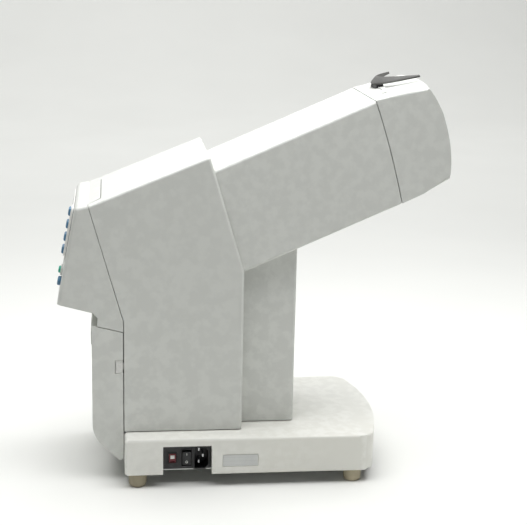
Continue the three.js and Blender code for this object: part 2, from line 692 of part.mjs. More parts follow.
// The tongue that reaches from the control head into the housing's top.
function tongue() {
  const [x0, x1] = [TAB_ROOT, SEAM_TOP.x + TAB.reach];
  const strip = across(outline([
    [x0, topPlane(x0) - WALL],
    [x1, topPlane(x1) - WALL],
    [x1, topPlane(x1) + TAB.proud],
    [x0, topPlane(x0)],
  ]), 2 * TAB.root);
  return strip.intersect(upward(tabPlan(x0, 0), 260, 320));
}

const keyPlaces = Array.from({ length: KEY.count }, (_, i) => KEY.first + i * KEY.pitch);

function fascia() {
  const { y0, y1, z0, z1, low, high, corner } = FASCIA;
  const plate = panelPlate([y0, y1], [z0, z1], low, high, corner);
  const ridgeZ = [z0 + 1, keyPlaces.at(-1) + 6.5];
  const ridge = panelPlate([KEY.y - 9.5, KEY.y + 9.5], ridgeZ, low, KEY.collar, 4);
  const window = panelPlate([DISPLAY.y0, DISPLAY.y1], [DISPLAY.z0, DISPLAY.z1], 0, 12, 2);
  const [w, h] = [KEY.width / 2 + KEY_CLEAR, KEY.height / 2 + KEY_CLEAR];
  const holes = keyPlaces.map((z) => panelPlate([KEY.y - w, KEY.y + w], [z - h, z + h], 0, 12, 1.5));
  return cut(join(plate, ridge), window, ...holes);
}

function keyCap() {
  const [w, h] = [KEY.width / 2, KEY.height / 2];
  const cap = panelPlate([-w, w], [-h, h], KEY_FOOT, KEY.top, 1.3);
  const skirt = panelPlate([-w - 1, w + 1], [-h - 1, h + 1], KEY_FOOT, FASCIA.low - GAP, 1.3);
  return join(cap, skirt);
}

function roundKey({ radius, top }) {
  const skirt = [[0, KEY_FOOT], [radius + 1.2, KEY_FOOT], [radius + 1.2, 2], [radius, 2]];
  const crown = [[radius, top - 1], [radius - 1, top - 0.2], [0, top]];
  const solid = turned([...skirt, ...crown], 16);
  return toSolid(toGeometry(solid).rotateY(Math.PI / 2));
}

function displayModule() {
  const body = box([-6, 3], [DISPLAY.y0 - 4, DISPLAY.y1 + 4], [DISPLAY.z0 - 3, DISPLAY.z1 + 3]);
  const glassSeat = box([2.4, 4], [DISPLAY.y0 + 1, DISPLAY.y1 - 1], [DISPLAY.z0 + 1, DISPLAY.z1 - 1]);
  return cut(body, glassSeat);
}

function keyBoard() {
  const board = box([-4, -2.6], [-56, -32], [4, 100]);
  const switchAt = (z) => box([-3, KEY_FOOT - 1.8], [KEY.y - 3, KEY.y + 3], [z - 3, z + 3]);
  return join(board, ...[...keyPlaces, START_KEY.z, ROUND_KEY.z].map(switchAt));
}

add("control_head", controlHead(), MATERIAL.shell);
add("panel_fascia", fascia(), MATERIAL.fascia, panelFrame);
const windowBounds = [[DISPLAY.y0 + 0.4, DISPLAY.y1 - 0.4], [DISPLAY.z0 + 0.4, DISPLAY.z1 - 0.4]];
const displayWindow = panelPlate(...windowBounds, FASCIA.low - 1, FASCIA.high - 0.2, 1.6);
add("display_window", displayWindow, MATERIAL.glass, panelFrame);
add("display_module", displayModule(), MATERIAL.darkPlastic, panelFrame);
add("key_board", keyBoard(), MATERIAL.board, panelFrame);
keyPlaces.forEach((z, i) => {
  add(`menu_key_${i + 1}`, keyCap(), MATERIAL.blueKey, panelFrame).position.set(0, KEY.y, z);
});
const startKey = add("start_key", roundKey(START_KEY), MATERIAL.greenKey, panelFrame);
startKey.position.set(0, START_KEY.y, START_KEY.z);
const printKey = add("print_key", roundKey(ROUND_KEY), MATERIAL.blueKey, panelFrame);
printKey.position.set(0, ROUND_KEY.y, ROUND_KEY.z);

// ---------------------------------------------------------------- printer door, catches and printer
const GRIP = { half: 30, z0: 128, z1: 142, proud: 1.4 };

// Side view of the door, inset by a wall. Its foot is rounded about the hinge, so that it clears the base.
function doorSide(inset, back) {
  const foot = DOOR.foot + inset;
  const heel = HINGE.x - 1 + inset;
  const shape = new THREE.Shape();
  shape.moveTo(back, doorTop(back) - inset);
  shape.lineTo(DOOR.front + inset + 1, doorTop(DOOR.front) - inset);
  shape.lineTo(DOOR.front + inset, doorTop(DOOR.front) - inset - 1);
  shape.lineTo(DOOR.front + inset, DOOR.bend + DOOR.corner);
  const [bendX, bendZ] = [DOOR.front + inset, DOOR.bend + inset / 2];
  const slope = Math.atan2(bendZ - foot, heel - bendX);
  const [endX, endZ] = [bendX + DOOR.corner * Math.cos(slope), bendZ - DOOR.corner * Math.sin(slope)];
  shape.quadraticCurveTo(bendX, bendZ, endX, endZ);
  shape.lineTo(heel, foot);
  if (inset) shape.lineTo(back, foot);
  else shape.absarc(HINGE.x, HINGE.z, HINGE.z - foot, -Math.PI / 2, 0, false);
  shape.closePath();
  return shape;
}

function printerDoor() {
  const plan = outline([
    [DOOR.front, -BODY_WIDTH / 2, FACE_EDGE],
    [5, -BODY_WIDTH / 2],
    [5, BODY_WIDTH / 2],
    [DOOR.front, BODY_WIDTH / 2, FACE_EDGE],
  ]);
  const block = across(doorSide(0, DOOR.back), BODY_WIDTH).intersect(upward(plan, 0, 170));
  const hollow = across(doorSide(WALL, 4), BODY_WIDTH - 2 * WALL);
  const grip = box([DOOR.front - GRIP.proud, DOOR.front + 1], [-GRIP.half, GRIP.half], [GRIP.z0, GRIP.z1]);
  const ears = [-1, 1].map((s) => {
    const y = s * (HINGE_LUG.at + 6);
    const [y0, y1] = [y - HINGE_LUG.half, y + HINGE_LUG.half];
    const web = box([HINGE.x - 6, HINGE.x], [y0, y1], [DOOR.foot + 1, HINGE.z + 1]);
    return cut(join(web, knuckle(y)), hingeBore(y));
  });
  const lugRoom = [-1, 1].map((s) => {
    const [y0, y1] = [s * HINGE_LUG.at - HINGE_LUG.room, s * HINGE_LUG.at + HINGE_LUG.room];
    return box([HINGE.x - HINGE.knuckle - 0.8, 3], [y0, y1], [DOOR.foot - 2, HINGE.z + HINGE.knuckle + 1]);
  });
  const notches = [-1, 1].map((s) => {
    const y = s > 0 ? [BODY_WIDTH / 2 - 4, BODY_WIDTH / 2 + 1] : [-BODY_WIDTH / 2 - 1, 4 - BODY_WIDTH / 2];
    return box([CATCH.x0 - 0.5, 2], y, [CATCH.z0 - 0.5, CATCH.z1 + 0.5]);
  });
  const channel = rod("y", HINGE.rod + RUNNING, [HINGE.x, -66, HINGE.z], 132);
  return cut(join(cut(block, hollow), grip, ...ears), channel, ...lugRoom, ...notches);
}

// A sprung catch at the door's edge: a finger pad with a leg that reaches into the housing.
function doorCatch(side) {
  const face = BODY_WIDTH / 2 - 1.2;
  const y = [side * (face - 2), side * face].sort((a, b) => a - b);
  return join(box([CATCH.x0, CATCH.x1], y, [CATCH.z0, CATCH.z1]), catchLeg(side, 0, 0));
}

const PRINTER = { half: 34, x0: 7, x1: 64, z0: 66, z1: 148 };
const PAPER = { x: 37, z: 104, radius: 23, core: 6.5, half: 28.5 };
const PLATEN = { x: 13, z: 141, radius: 5, half: 29, shaft: 2 };

function printerFrame() {
  const p = PRINTER;
  const cheekY = (s) => (s > 0 ? [p.half, p.half + 2] : [-p.half - 2, -p.half]);
  const cheek = (s) => box([p.x0, p.x1], cheekY(s), [p.z0, p.z1]);
  const floor = box([p.x0, p.x1], [-p.half - 1, p.half + 1], [p.z0, p.z0 + 2]);
  const back = box([p.x1 - 2, p.x1], [-p.half - 1, p.half + 1], [p.z0, p.z0 + 60]);
  const legY = (s) => (s > 0 ? [p.half - 6, p.half + 2] : [-p.half - 2, 6 - p.half]);
  const leg = (x, s) => box([x, x + 8], legY(s), [BASE.height + GAP, p.z0 + 1]);
  const legs = [p.x0, p.x1 - 8].flatMap((x) => [leg(x, -1), leg(x, 1)]);
  const shaftHole = (x, z, radius) => rod("y", radius + RUNNING, [x, -p.half - 4, z], 2 * p.half + 8);
  return cut(
    join(cheek(-1), cheek(1), floor, back, ...legs),
    shaftHole(PAPER.x, PAPER.z, 3),
    shaftHole(PLATEN.x, PLATEN.z, PLATEN.shaft),
  );
}

function paperRoll() {
  const ring = rod("y", PAPER.radius, [PAPER.x, -PAPER.half, PAPER.z], 2 * PAPER.half, 28);
  return cut(ring, rod("y", PAPER.core, [PAPER.x, -PAPER.half - 1, PAPER.z], 2 * PAPER.half + 2));
}

function paperSpindle() {
  const rodSolid = rod("y", 3, [PAPER.x, -PRINTER.half - 2, PAPER.z], 2 * PRINTER.half + 4);
  return join(rodSolid, rod("y", PAPER.core - 0.3, [PAPER.x, -PAPER.half, PAPER.z], 2 * PAPER.half));
}

function platenRoller() {
  const roller = rod("y", PLATEN.radius, [PLATEN.x, -PLATEN.half, PLATEN.z], 2 * PLATEN.half);
  const shaft = rod("y", PLATEN.shaft, [PLATEN.x, -PRINTER.half - 2, PLATEN.z], 2 * PRINTER.half + 4);
  return join(roller, shaft);
}

function printHead() {
  const { x, z, half } = PLATEN;
  const bar = box([x + 5.4, x + 9], [-half, half], [z - 6, z + 6]);
  const sink = box([x + 8.9, x + 18], [4 - half, half - 4], [z - 2, z + 3]);
  const arms = [-1, 1].map((s) => {
    const y = s > 0 ? [half - 1, PRINTER.half - 0.4] : [0.4 - PRINTER.half, 1 - half];
    return box([x + 6, x + 9], y, [z - 3, z + 3]);
  });
  return join(bar, sink, ...arms);
}

add("printer_door", printerDoor(), MATERIAL.shell);
add("hinge_rod", rod("y", HINGE.rod, [HINGE.x, -65.5, HINGE.z], 131), MATERIAL.steel);
add("door_catch_left", doorCatch(1), MATERIAL.fascia);
add("door_catch_right", doorCatch(-1), MATERIAL.fascia);
add("printer_frame", printerFrame(), MATERIAL.steel);
add("paper_roll", paperRoll(), MATERIAL.paper);
add("paper_spindle", paperSpindle(), MATERIAL.darkPlastic);
add("platen_roller", platenRoller(), MATERIAL.rubber);
add("print_head", printHead(), MATERIAL.blackAluminium);

// ---------------------------------------------------------------- optics on their bench
const AXIS = 62; // height of the optical axis above the tube's underside
const STAGE = { x0: 92, x1: 206, rodY: 28, rodZ: 36, rod: 3, screw: 3, plate: 4, half: 38 };
const CARRIAGE = { x: 138, length: 24, travel: 30 };
const SPLITTER = { x: 248, size: 40, thickness: 1.6 };
const LENS = { x: 296, radius: 20, thickness: 8, barrel: 30 };
const CAMERA = { z: 86, size: 30 };

function bench() {
  const plate = box([BENCH.x0, BENCH.x1], [-BENCH.half, BENCH.half], [BENCH.z0, BENCH.z1]);
  const slots = [80, 226, 270].map((x) => box([x, x + 8], [-30, 30], [BENCH.z0 - 1, BENCH.z1 + 1]));
  return cut(plate, ...slots);
}

function objectiveBarrel() {
  const outer = rod("x", LENS.radius + 5, [LENS.x - LENS.barrel / 2, 0, AXIS], LENS.barrel, 24);
  const pedestal = box([LENS.x - 12, LENS.x + 12], [-16, 16], [BENCH.z1 + 0.3, AXIS - 10]);
  const bore = rod("x", LENS.radius + 0.3, [LENS.x - LENS.barrel / 2 + 3, 0, AXIS], LENS.barrel, 24);
  const stop = rod("x", LENS.radius - 3, [LENS.x - LENS.barrel, 0, AXIS], 2 * LENS.barrel, 24);
  return cut(join(outer, pedestal), bore, stop);
}

function objectiveLens() {
  const [r, t] = [LENS.radius, LENS.thickness / 2];
  const sag = (share) => t - (t - 1.2) * share ** 2;
  const steps = [0, 0.5, 1];
  const lower = steps.map((share) => [share * r, -sag(share)]);
  const upper = [...steps].reverse().map((share) => [share * r, sag(share)]);
  const solid = turned([...lower, ...upper], 24);
  return toSolid(toGeometry(solid).rotateY(Math.PI / 2).translate(LENS.x, 0, AXIS));
}

const tilted = (solid, x, z) => toSolid(toGeometry(solid).rotateY(-Math.PI / 4).translate(x, 0, z));

function splitterPlate(margin) {
  const [half, t] = [SPLITTER.size / 2 + margin, SPLITTER.thickness / 2 + margin];
  return tilted(box([-half, half], [-half - 2, half + 2], [-t, t]), SPLITTER.x, AXIS);
}

function splitterMount() {
  const half = SPLITTER.size / 2;
  const cheeks = [-1, 1].map((s) => {
    const y = s > 0 ? [half, half + 5] : [-half - 5, -half];
    return box([SPLITTER.x - 17, SPLITTER.x + 17], y, [BENCH.z1 + 0.3, AXIS + 17]);
  });
  const footWidth = [-half - 5, half + 5];
  const foot = box([SPLITTER.x - 17, SPLITTER.x + 17], footWidth, [BENCH.z1 + 0.3, BENCH.z1 + 5]);
  return cut(join(...cheeks, foot), splitterPlate(0.35));
}

function measuringCamera() {
  const half = CAMERA.size / 2;
  const body = box([SPLITTER.x - half, SPLITTER.x + half], [-half, half], [CAMERA.z, CAMERA.z + 16]);
  return join(body, rod("z", 9, [SPLITTER.x, 0, CAMERA.z - 4], 5, 24));
}

function cameraBracket() {
  const [x0, x1] = [SPLITTER.x - 12, SPLITTER.x + 12];
  const wall = box([x0, x1], [33, 36], [BENCH.z1 + 0.3, CAMERA.z + 19.4]);
  const shelf = box([x0, x1], [-16, 34], [CAMERA.z + 16.4, CAMERA.z + 19.4]);
  const foot = box([x0, x1], [28, 42], [BENCH.z1 + 0.3, BENCH.z1 + 3.3]);
  return join(wall, shelf, foot);
}

function lightSource() {
  const block = box([210, 223], [-9, 9], [BENCH.z1 + 0.3, AXIS - 22]);
  return join(block, rod("x", 6, [222, 0, AXIS - 30], 7, 20));
}

function stagePlate(x) {
  const plate = box([x, x + STAGE.plate], [-STAGE.half, STAGE.half], [BENCH.z1 + 0.3, STAGE.rodZ + 9]);
  const holes = [-1, 1].map((s) => rod("x", STAGE.rod + RUNNING, [x - 2, s * STAGE.rodY, STAGE.rodZ], 10));
  return cut(plate, ...holes, rod("x", STAGE.screw + RUNNING, [x - 2, 0, STAGE.rodZ], 10));
}

function targetCarriage() {
  const [x0, x1] = [CARRIAGE.x - CARRIAGE.length / 2, CARRIAGE.x + CARRIAGE.length / 2];
  const block = box([x0, x1], [-STAGE.half + 2, STAGE.half - 2], [STAGE.rodZ - 7, STAGE.rodZ + 7]);
  const mast = box([CARRIAGE.x - 3, CARRIAGE.x + 3], [-14, 14], [STAGE.rodZ + 6, AXIS + 16]);
  const bores = [-1, 1].map((s) => rod("x", STAGE.rod + RUNNING, [x0 - 2, s * STAGE.rodY, STAGE.rodZ], 40));
  const nut = rod("x", STAGE.screw + RUNNING, [x0 - 2, 0, STAGE.rodZ], 40);
  const view = rod("x", 10, [CARRIAGE.x - 6, 0, AXIS + 2], 12, 20);
  return cut(join(block, mast), ...bores, nut, view);
}

function targetSlide() {
  return rod("x", 9.6, [CARRIAGE.x - 1, 0, AXIS + 2], 2, 20);
}

function leadScrew() {
  const start = STAGE.x0 - 12;
  const shaft = rod("x", STAGE.screw, [start, 0, STAGE.rodZ], STAGE.x1 + 3 - start);
  const slit = box([start + 3, start + 6], [2, 8], [0, 60]);
  const coupling = cut(rod("x", 6, [start, 0, STAGE.rodZ], 9), slit);
  return join(shaft, coupling);
}

function focusMotor() {
  const end = STAGE.x0 - 12.4;
  const can = box([end - 26, end], [-14, 14], [STAGE.rodZ - 14, STAGE.rodZ + 14]);
  const boss = rod("x", 7, [end - 28, 0, STAGE.rodZ], 3);
  return join(can, boss);
}

add("optical_bench", bench(), MATERIAL.aluminium, tubeFrame);
add("objective_barrel", objectiveBarrel(), MATERIAL.blackAluminium, tubeFrame);
add("objective_lens", objectiveLens(), MATERIAL.glass, tubeFrame);
add("splitter_mount", splitterMount(), MATERIAL.blackAluminium, tubeFrame);
add("beam_splitter", splitterPlate(0), MATERIAL.glass, tubeFrame);
add("measuring_camera", measuringCamera(), MATERIAL.blackAluminium, tubeFrame);
add("camera_bracket", cameraBracket(), MATERIAL.aluminium, tubeFrame);
add("light_source", lightSource(), MATERIAL.blackAluminium, tubeFrame);
add("stage_plate_rear", stagePlate(STAGE.x0), MATERIAL.aluminium, tubeFrame);
add("stage_plate_front", stagePlate(STAGE.x1 - STAGE.plate), MATERIAL.aluminium, tubeFrame);
for (const [name, side] of [["left", 1], ["right", -1]]) {
  const start = [STAGE.x0 - 2, side * STAGE.rodY, STAGE.rodZ];
  add(`guide_rod_${name}`, rod("x", STAGE.rod, start, STAGE.x1 - STAGE.x0 + 4), MATERIAL.steel, tubeFrame);
}
add("lead_screw", leadScrew(), MATERIAL.brass, tubeFrame);
add("focus_motor", focusMotor(), MATERIAL.blackAluminium, tubeFrame);
add("target_carriage", targetCarriage(), MATERIAL.aluminium, tubeFrame);
add("target_slide", targetSlide(), MATERIAL.glass, tubeFrame);

// ---------------------------------------------------------------- main board
function mainBoard() {
  const [y, inner] = [60, BODY_WIDTH / 2 - WALL - GAP];
  const board = box([14, 120], [y, y + 1.6], [58, 158]);
  const post = (x, z) => rod("y", 3, [x, y + 1, z], inner - y - 1, 12);
  const posts = [20, 114].flatMap((x) => [post(x, 64), post(x, 152)]);
  const chips = [[30, 80, 22], [70, 90, 30], [40, 130, 18], [95, 130, 14]].map(([x, z, size]) =>
    box([x, x + size], [y - 4, y + 0.5], [z, z + size]));
  return join(board, ...posts, ...chips);
}
add("main_board", mainBoard(), MATERIAL.board);

export default instrument;
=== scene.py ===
"""Looks for the autorefractor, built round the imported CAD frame.

Pieces are drawn in millimetres in the working axes of the instrument (x from the operator to the
patient, y across, z up from the foot of the base skirt), or in the frame of the tube, the panel or the
head, and are then carried into the row frame in metres.
"""
import math

import bmesh
import bpy
from mathutils import Matrix, Vector


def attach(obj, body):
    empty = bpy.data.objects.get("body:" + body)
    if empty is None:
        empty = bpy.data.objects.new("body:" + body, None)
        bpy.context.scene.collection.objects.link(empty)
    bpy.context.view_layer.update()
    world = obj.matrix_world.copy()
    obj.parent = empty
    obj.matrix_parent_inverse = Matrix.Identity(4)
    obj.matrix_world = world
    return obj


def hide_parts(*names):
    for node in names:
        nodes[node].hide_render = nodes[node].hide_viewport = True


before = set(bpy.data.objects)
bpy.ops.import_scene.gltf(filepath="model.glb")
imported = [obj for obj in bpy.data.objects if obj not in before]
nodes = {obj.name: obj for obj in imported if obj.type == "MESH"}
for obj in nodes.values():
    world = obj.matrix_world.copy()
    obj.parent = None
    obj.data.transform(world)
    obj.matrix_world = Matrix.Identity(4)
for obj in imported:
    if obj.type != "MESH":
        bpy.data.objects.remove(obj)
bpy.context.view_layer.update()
scene = bpy.context.scene

# ------------------------------------------------------------------ dimensions, in millimetres
GAP = 0.4
WALL = 2.5
SLOPE = math.atan(0.4377)
BASE = {"length": 286, "half": 99, "height": 40.8, "wall": 3, "bow": 11.5, "corner": 18}
BODY = 147
TUBE = {"width": 134, "height": 114.5, "from": 118}
HEAD = {"top": 395.8, "top_z": 106.4, "seam": 338, "seam_z": 114.9, "belly": 401.4, "belly_z": 74,
        "chin": 383.4, "chin_z": 4.6, "bow": 5.5}
HEAD_DROP = (HEAD["seam_z"] - HEAD["top_z"]) / (HEAD["top"] - HEAD["seam"])
SEAM = {"foot": 324.6, "bulge": 5.2, "lean": 13.6, "gap": 0.7}
SEAM_TOP = (-36.2, 292.3)
SEAM_FOOT = (0, 166.5)
HOUSING_X = 128.4
HOUSING_FOOT = BASE["height"] + 1
CREASE_END = 219.5
TIP_X = 90.5
COLUMN = {"x0": 128.9, "x1": 188.6, "half": 50}
LEAN = math.radians(10.75)
PANEL = {"x": -45.2, "z": 290.5, "stand": 5, "length": 107}
DOOR = {"front": -34.3, "back": -0.9, "foot": 9, "top": 154.2, "slope": -0.249}
HINGE = (-4.6, 12.7)
KNUCKLE = 3.3
TAB = {"reach": 12.7, "root": 66, "end": 57.5, "corner": 6, "proud": 0.5, "gap": 0.6}
ENTRY = {"x0": 41.1, "x1": 93.8, "top": 33, "face": -90.5, "z": 16.8}


def top_plane(x):
    return SEAM_TOP[1] + 0.41 * (x - SEAM_TOP[0])


def door_top(x):
    return DOOR["top"] + DOOR["slope"] * (x - DOOR["back"])


# ------------------------------------------------------------------ frames
MM = 0.001
INSTRUMENT = Matrix.Scale(MM, 4) @ Matrix.Translation((-142.15, 0, 14.5))
TUBE_FRAME = INSTRUMENT @ Matrix.Translation((0, 0, 161.6)) @ Matrix.Rotation(-SLOPE, 4, "Y")
PANEL_FRAME = (INSTRUMENT @ Matrix.Translation((PANEL["x"], 0, PANEL["z"]))
               @ Matrix.Rotation(math.pi + LEAN, 4, "Y"))
HEAD_FRAME = (TUBE_FRAME @ Matrix.Translation((HEAD["top"], 0, HEAD["top_z"]))
              @ Matrix.Rotation(math.atan(HEAD_DROP), 4, "Y"))
TUBE_LOCAL = INSTRUMENT.inverted() @ TUBE_FRAME
PANEL_LOCAL = INSTRUMENT.inverted() @ PANEL_FRAME

# ------------------------------------------------------------------ camera and light
camera = bpy.data.objects.new("photo_camera", bpy.data.cameras.new("photo_camera"))
camera.data.lens = 86.33
camera.data.sensor_width = 36
camera.data.clip_end = 50
camera.matrix_world = Matrix((
    (0.99262, 0.00832, -0.12097, -0.156735),
    (-0.11937, 0.24228, -0.96284, -1.372003),
    (0.02129, 0.97018, 0.24148, 0.570688),
    (0, 0, 0, 1),
))
scene.collection.objects.link(camera)
scene.camera = camera
scene.view_settings.view_transform = "Standard"


def area_light(name, place, aim, size, power, colour=(1, 1, 1)):
    data = bpy.data.lights.new(name, "AREA")
    data.shape = "RECTANGLE"
    data.size, data.size_y = size
    data.energy = power
    data.color = colour
    light = bpy.data.objects.new(name, data)
    light.location = place
    light.rotation_euler = (Vector(aim) - Vector(place)).to_track_quat("-Z", "Y").to_euler()
    scene.collection.objects.link(light)


def studio():
    area_light("overhead", (0.05, -0.1, 1.12), (0.05, -0.1, 0), (1.5, 1.0), 19.5)
    area_light("front_fill", (-0.9, -2.2, 1.0), (0, 0, 0.2), (1.6, 1.2), 0.5)
    area_light("patient_side", (1.7, -0.5, 0.8), (0.1, 0, 0.25), (1.0, 1.0), 2)
    area_light("backdrop", (0, 2.3, 2.4), (0, 3.4, 0), (5, 3), 82)
    world = bpy.data.worlds.new("studio")
    world.use_nodes = True
    background = world.node_tree.nodes["Background"]
    background.inputs["Color"].default_value = (0.97, 1.0, 0.96, 1)
    background.inputs["Strength"].default_value = 0.1
    scene.world = world


studio()

# ------------------------------------------------------------------ shapes


def rounded(corners, steps=8):
    """A closed outline from corners (a, b) or (a, b, radius)."""
    points = []
    for i, corner in enumerate(corners):
        here = Vector(corner[:2])
        radius = corner[2] if len(corner) > 2 else 0
        if not radius:
            points.append(here)
            continue
        before = (Vector(corners[i - 1][:2]) - here).normalized()
        after = (Vector(corners[(i + 1) % len(corners)][:2]) - here).normalized()
        half = before.angle(after) / 2
        start = here + before * radius / math.tan(half)
        centre = here + (before + after).normalized() * radius / math.sin(half)
        arm = start - centre
        turn = math.pi - 2 * half
        sense = 1 if before.cross(after) < 0 else -1
        for k in range(steps + 1):
            angle = sense * turn * k / steps
            c, s = math.cos(angle), math.sin(angle)
            points.append(centre + Vector((arm.x * c - arm.y * s, arm.x * s + arm.y * c)))
    return points


def curve(start, control, end, steps=10):
    """Points of a quadratic curve, without its first point."""
    a, b, c = Vector(start), Vector(control), Vector(end)
    found = []
    for k in range(1, steps + 1):
        t = k / steps
        found.append(a * (1 - t) ** 2 + b * 2 * t * (1 - t) + c * t * t)
    return found


def scratch(bm, name="scratch"):
    bmesh.ops.recalc_face_normals(bm, faces=bm.faces)
    mesh = bpy.data.meshes.new(name)
    bm.to_mesh(mesh)
    bm.free()
    made = bpy.data.objects.new(name, mesh)
    scene.collection.objects.link(made)
    return made


def sweep(points, stations, place, rim=0, rim_if=None, post_if=None, segments=5):
    """A solid from an outline carried through stations. place(point, station) gives each vertex.

    The rims are rounded by rim: all of them, or the edges where rim_if(a, b) is true, and with them the
    long edges at the outline points where post_if(point) is true.
    """
    bm = bmesh.new()
    rings = [[bm.verts.new(place(p, s)) for p in points] for s in stations]
    count = len(points)
    rounding = []
    for near, far in zip(rings, rings[1:]):
        for i in range(count):
            j = (i + 1) % count
            bm.faces.new((near[i], near[j], far[j], far[i]))
    bm.faces.new(list(reversed(rings[0])))
    bm.faces.new(rings[-1])
    if rim:
        for i in range(count):
            j = (i + 1) % count
            if rim_if is None or rim_if(points[i], points[j]):
                for ring in (rings[0], rings[-1]):
                    rounding.append(bm.edges.get((ring[i], ring[j])))
            if post_if and post_if(points[i]):
                for near, far in zip(rings, rings[1:]):
                    rounding.append(bm.edges.get((near[i], far[i])))
        bmesh.ops.bevel(bm, geom=rounding, offset=rim, segments=segments, profile=0.5,
                        affect="EDGES", clamp_overlap=False)
    return scratch(bm)


def across(points, width, middle=0, **rounding):
    """A side-view outline (x, z) carried across the width."""
    return sweep(points, (middle - width / 2, middle + width / 2), lambda p, s: (p[0], s, p[1]), **rounding)


def rectangle(a, b, radius, steps):
    """A rounded rectangle from two pairs of limits."""
    corners = [(a[0], b[0]), (a[1], b[0]), (a[1], b[1]), (a[0], b[1])]
    return rounded([(*corner, radius) for corner in corners], steps)


def upward(points, z0, z1, **rounding):
    """A plan outline (x, y) carried upwards."""
    return sweep(points, (z0, z1), lambda p, s: (p[0], p[1], s), **rounding)


def along(points, x0, x1, **rounding):
    """An end-view outline (y, z) carried along x."""
    return sweep(points, (x0, x1), lambda p, s: (s, p[0], p[1]), **rounding)


def block(x, y, z, rim=0, segments=3):
    """A box from three pairs of limits, with every edge rounded when rim is given."""
    corners = [(x[0], y[0]), (x[1], y[0]), (x[1], y[1]), (x[0], y[1])]
    if not rim:
        return upward(corners, z[0], z[1])
    return upward(corners, z[0], z[1], rim=rim, post_if=lambda p: True, segments=segments)


def lathe(profile, centre=(0, 0, 0), axis="z", sides=48):
    """A turned solid from (radius, height) points that start and end on the axis."""
    bm = bmesh.new()
    rings = []
    for radius, height in profile:
        if radius == 0:
            rings.append([bm.verts.new((0, 0, height))])
            continue
        rings.append([bm.verts.new((radius * math.cos(math.tau * k / sides),
                                    radius * math.sin(math.tau * k / sides), height))
                      for k in range(sides)])
    for low, high in zip(rings, rings[1:]):
        for k in range(sides):
            n = (k + 1) % sides
            if len(low) == 1:
                bm.faces.new((low[0], high[n], high[k]))
            elif len(high) == 1:
                bm.faces.new((low[k], low[n], high[0]))
            else:
                bm.faces.new((low[k], low[n], high[n], high[k]))
    turn = {"z": Matrix(), "x": Matrix.Rotation(math.pi / 2, 4, "Y"),
            "y": Matrix.Rotation(-math.pi / 2, 4, "X")}[axis]
    bmesh.ops.transform(bm, matrix=Matrix.Translation(centre) @ turn, verts=bm.verts)
    return scratch(bm)


def cylinder(radius, length, centre, axis, sides=40, rim=0.3):
    """A round bar with eased ends, from centre along the axis."""
    near_end = [(0, 0), (radius - rim, 0), (radius, rim)]
    profile = near_end + [(r, length - height) for r, height in reversed(near_end)]
    return lathe(profile, centre, axis, sides)


def settle(obj):
    """Applies the modifiers of a scratch object."""
    bpy.context.view_layer.update()
    mesh = bpy.data.meshes.new_from_object(obj.evaluated_get(bpy.context.evaluated_depsgraph_get()))
    obj.modifiers.clear()
    obj.data = mesh
    return obj


def combine(body, others, operation):
    for other in others:
        step = body.modifiers.new("step", "BOOLEAN")
        step.operation = operation
        step.solver = "MANIFOLD"
        step.object = other
    settle(body)
    for other in others:
        bpy.data.objects.remove(other)
    return body


def cut(body, *tools):
    return combine(body, tools, "DIFFERENCE")


def join(body, *others):
    return combine(body, others, "UNION")


def common(body, *others):
    return combine(body, others, "INTERSECT")


def moved(obj, matrix):
    obj.data.transform(matrix)
    return obj


def soften(obj, width=0.35, segments=2, limit=40):
    """Eases the edges that cutting and joining left sharp."""
    bm = bmesh.new()
    bm.from_mesh(obj.data)
    bmesh.ops.remove_doubles(bm, verts=bm.verts, dist=0.004)
    bmesh.ops.dissolve_limit(bm, angle_limit=math.radians(0.4), verts=bm.verts, edges=bm.edges)
    bm.to_mesh(obj.data)
    bm.free()
    easing = obj.modifiers.new("easing", "BEVEL")
    easing.width = width
    easing.segments = segments
    easing.limit_method = "ANGLE"
    easing.angle_limit = math.radians(limit)
    easing.use_clamp_overlap = False
    easing.miter_outer = "MITER_ARC"
    return settle(obj)


def finish_mesh(obj, smooth=32):
    obj.data.shade_smooth()
    obj.data.set_sharp_from_angle(angle=math.radians(smooth))


def piece(obj, name, material, replaces=(), body="instrument", place=INSTRUMENT, ease=0.35, smooth=32):
    """Turns a scratch solid into a named, finished piece of the instrument."""
    if ease:
        soften(obj, ease)
    obj.name = name
    obj.data.name = name
    obj.data.transform(place)
    finish_mesh(obj, smooth)
    weighted = obj.modifiers.new("weighted", "WEIGHTED_NORMAL")
    weighted.keep_sharp = True
    obj.data.materials.clear()
    obj.data.materials.append(material)
    for node in replaces:
        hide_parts(node)
    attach(obj, body)
    return obj


# ------------------------------------------------------------------ materials


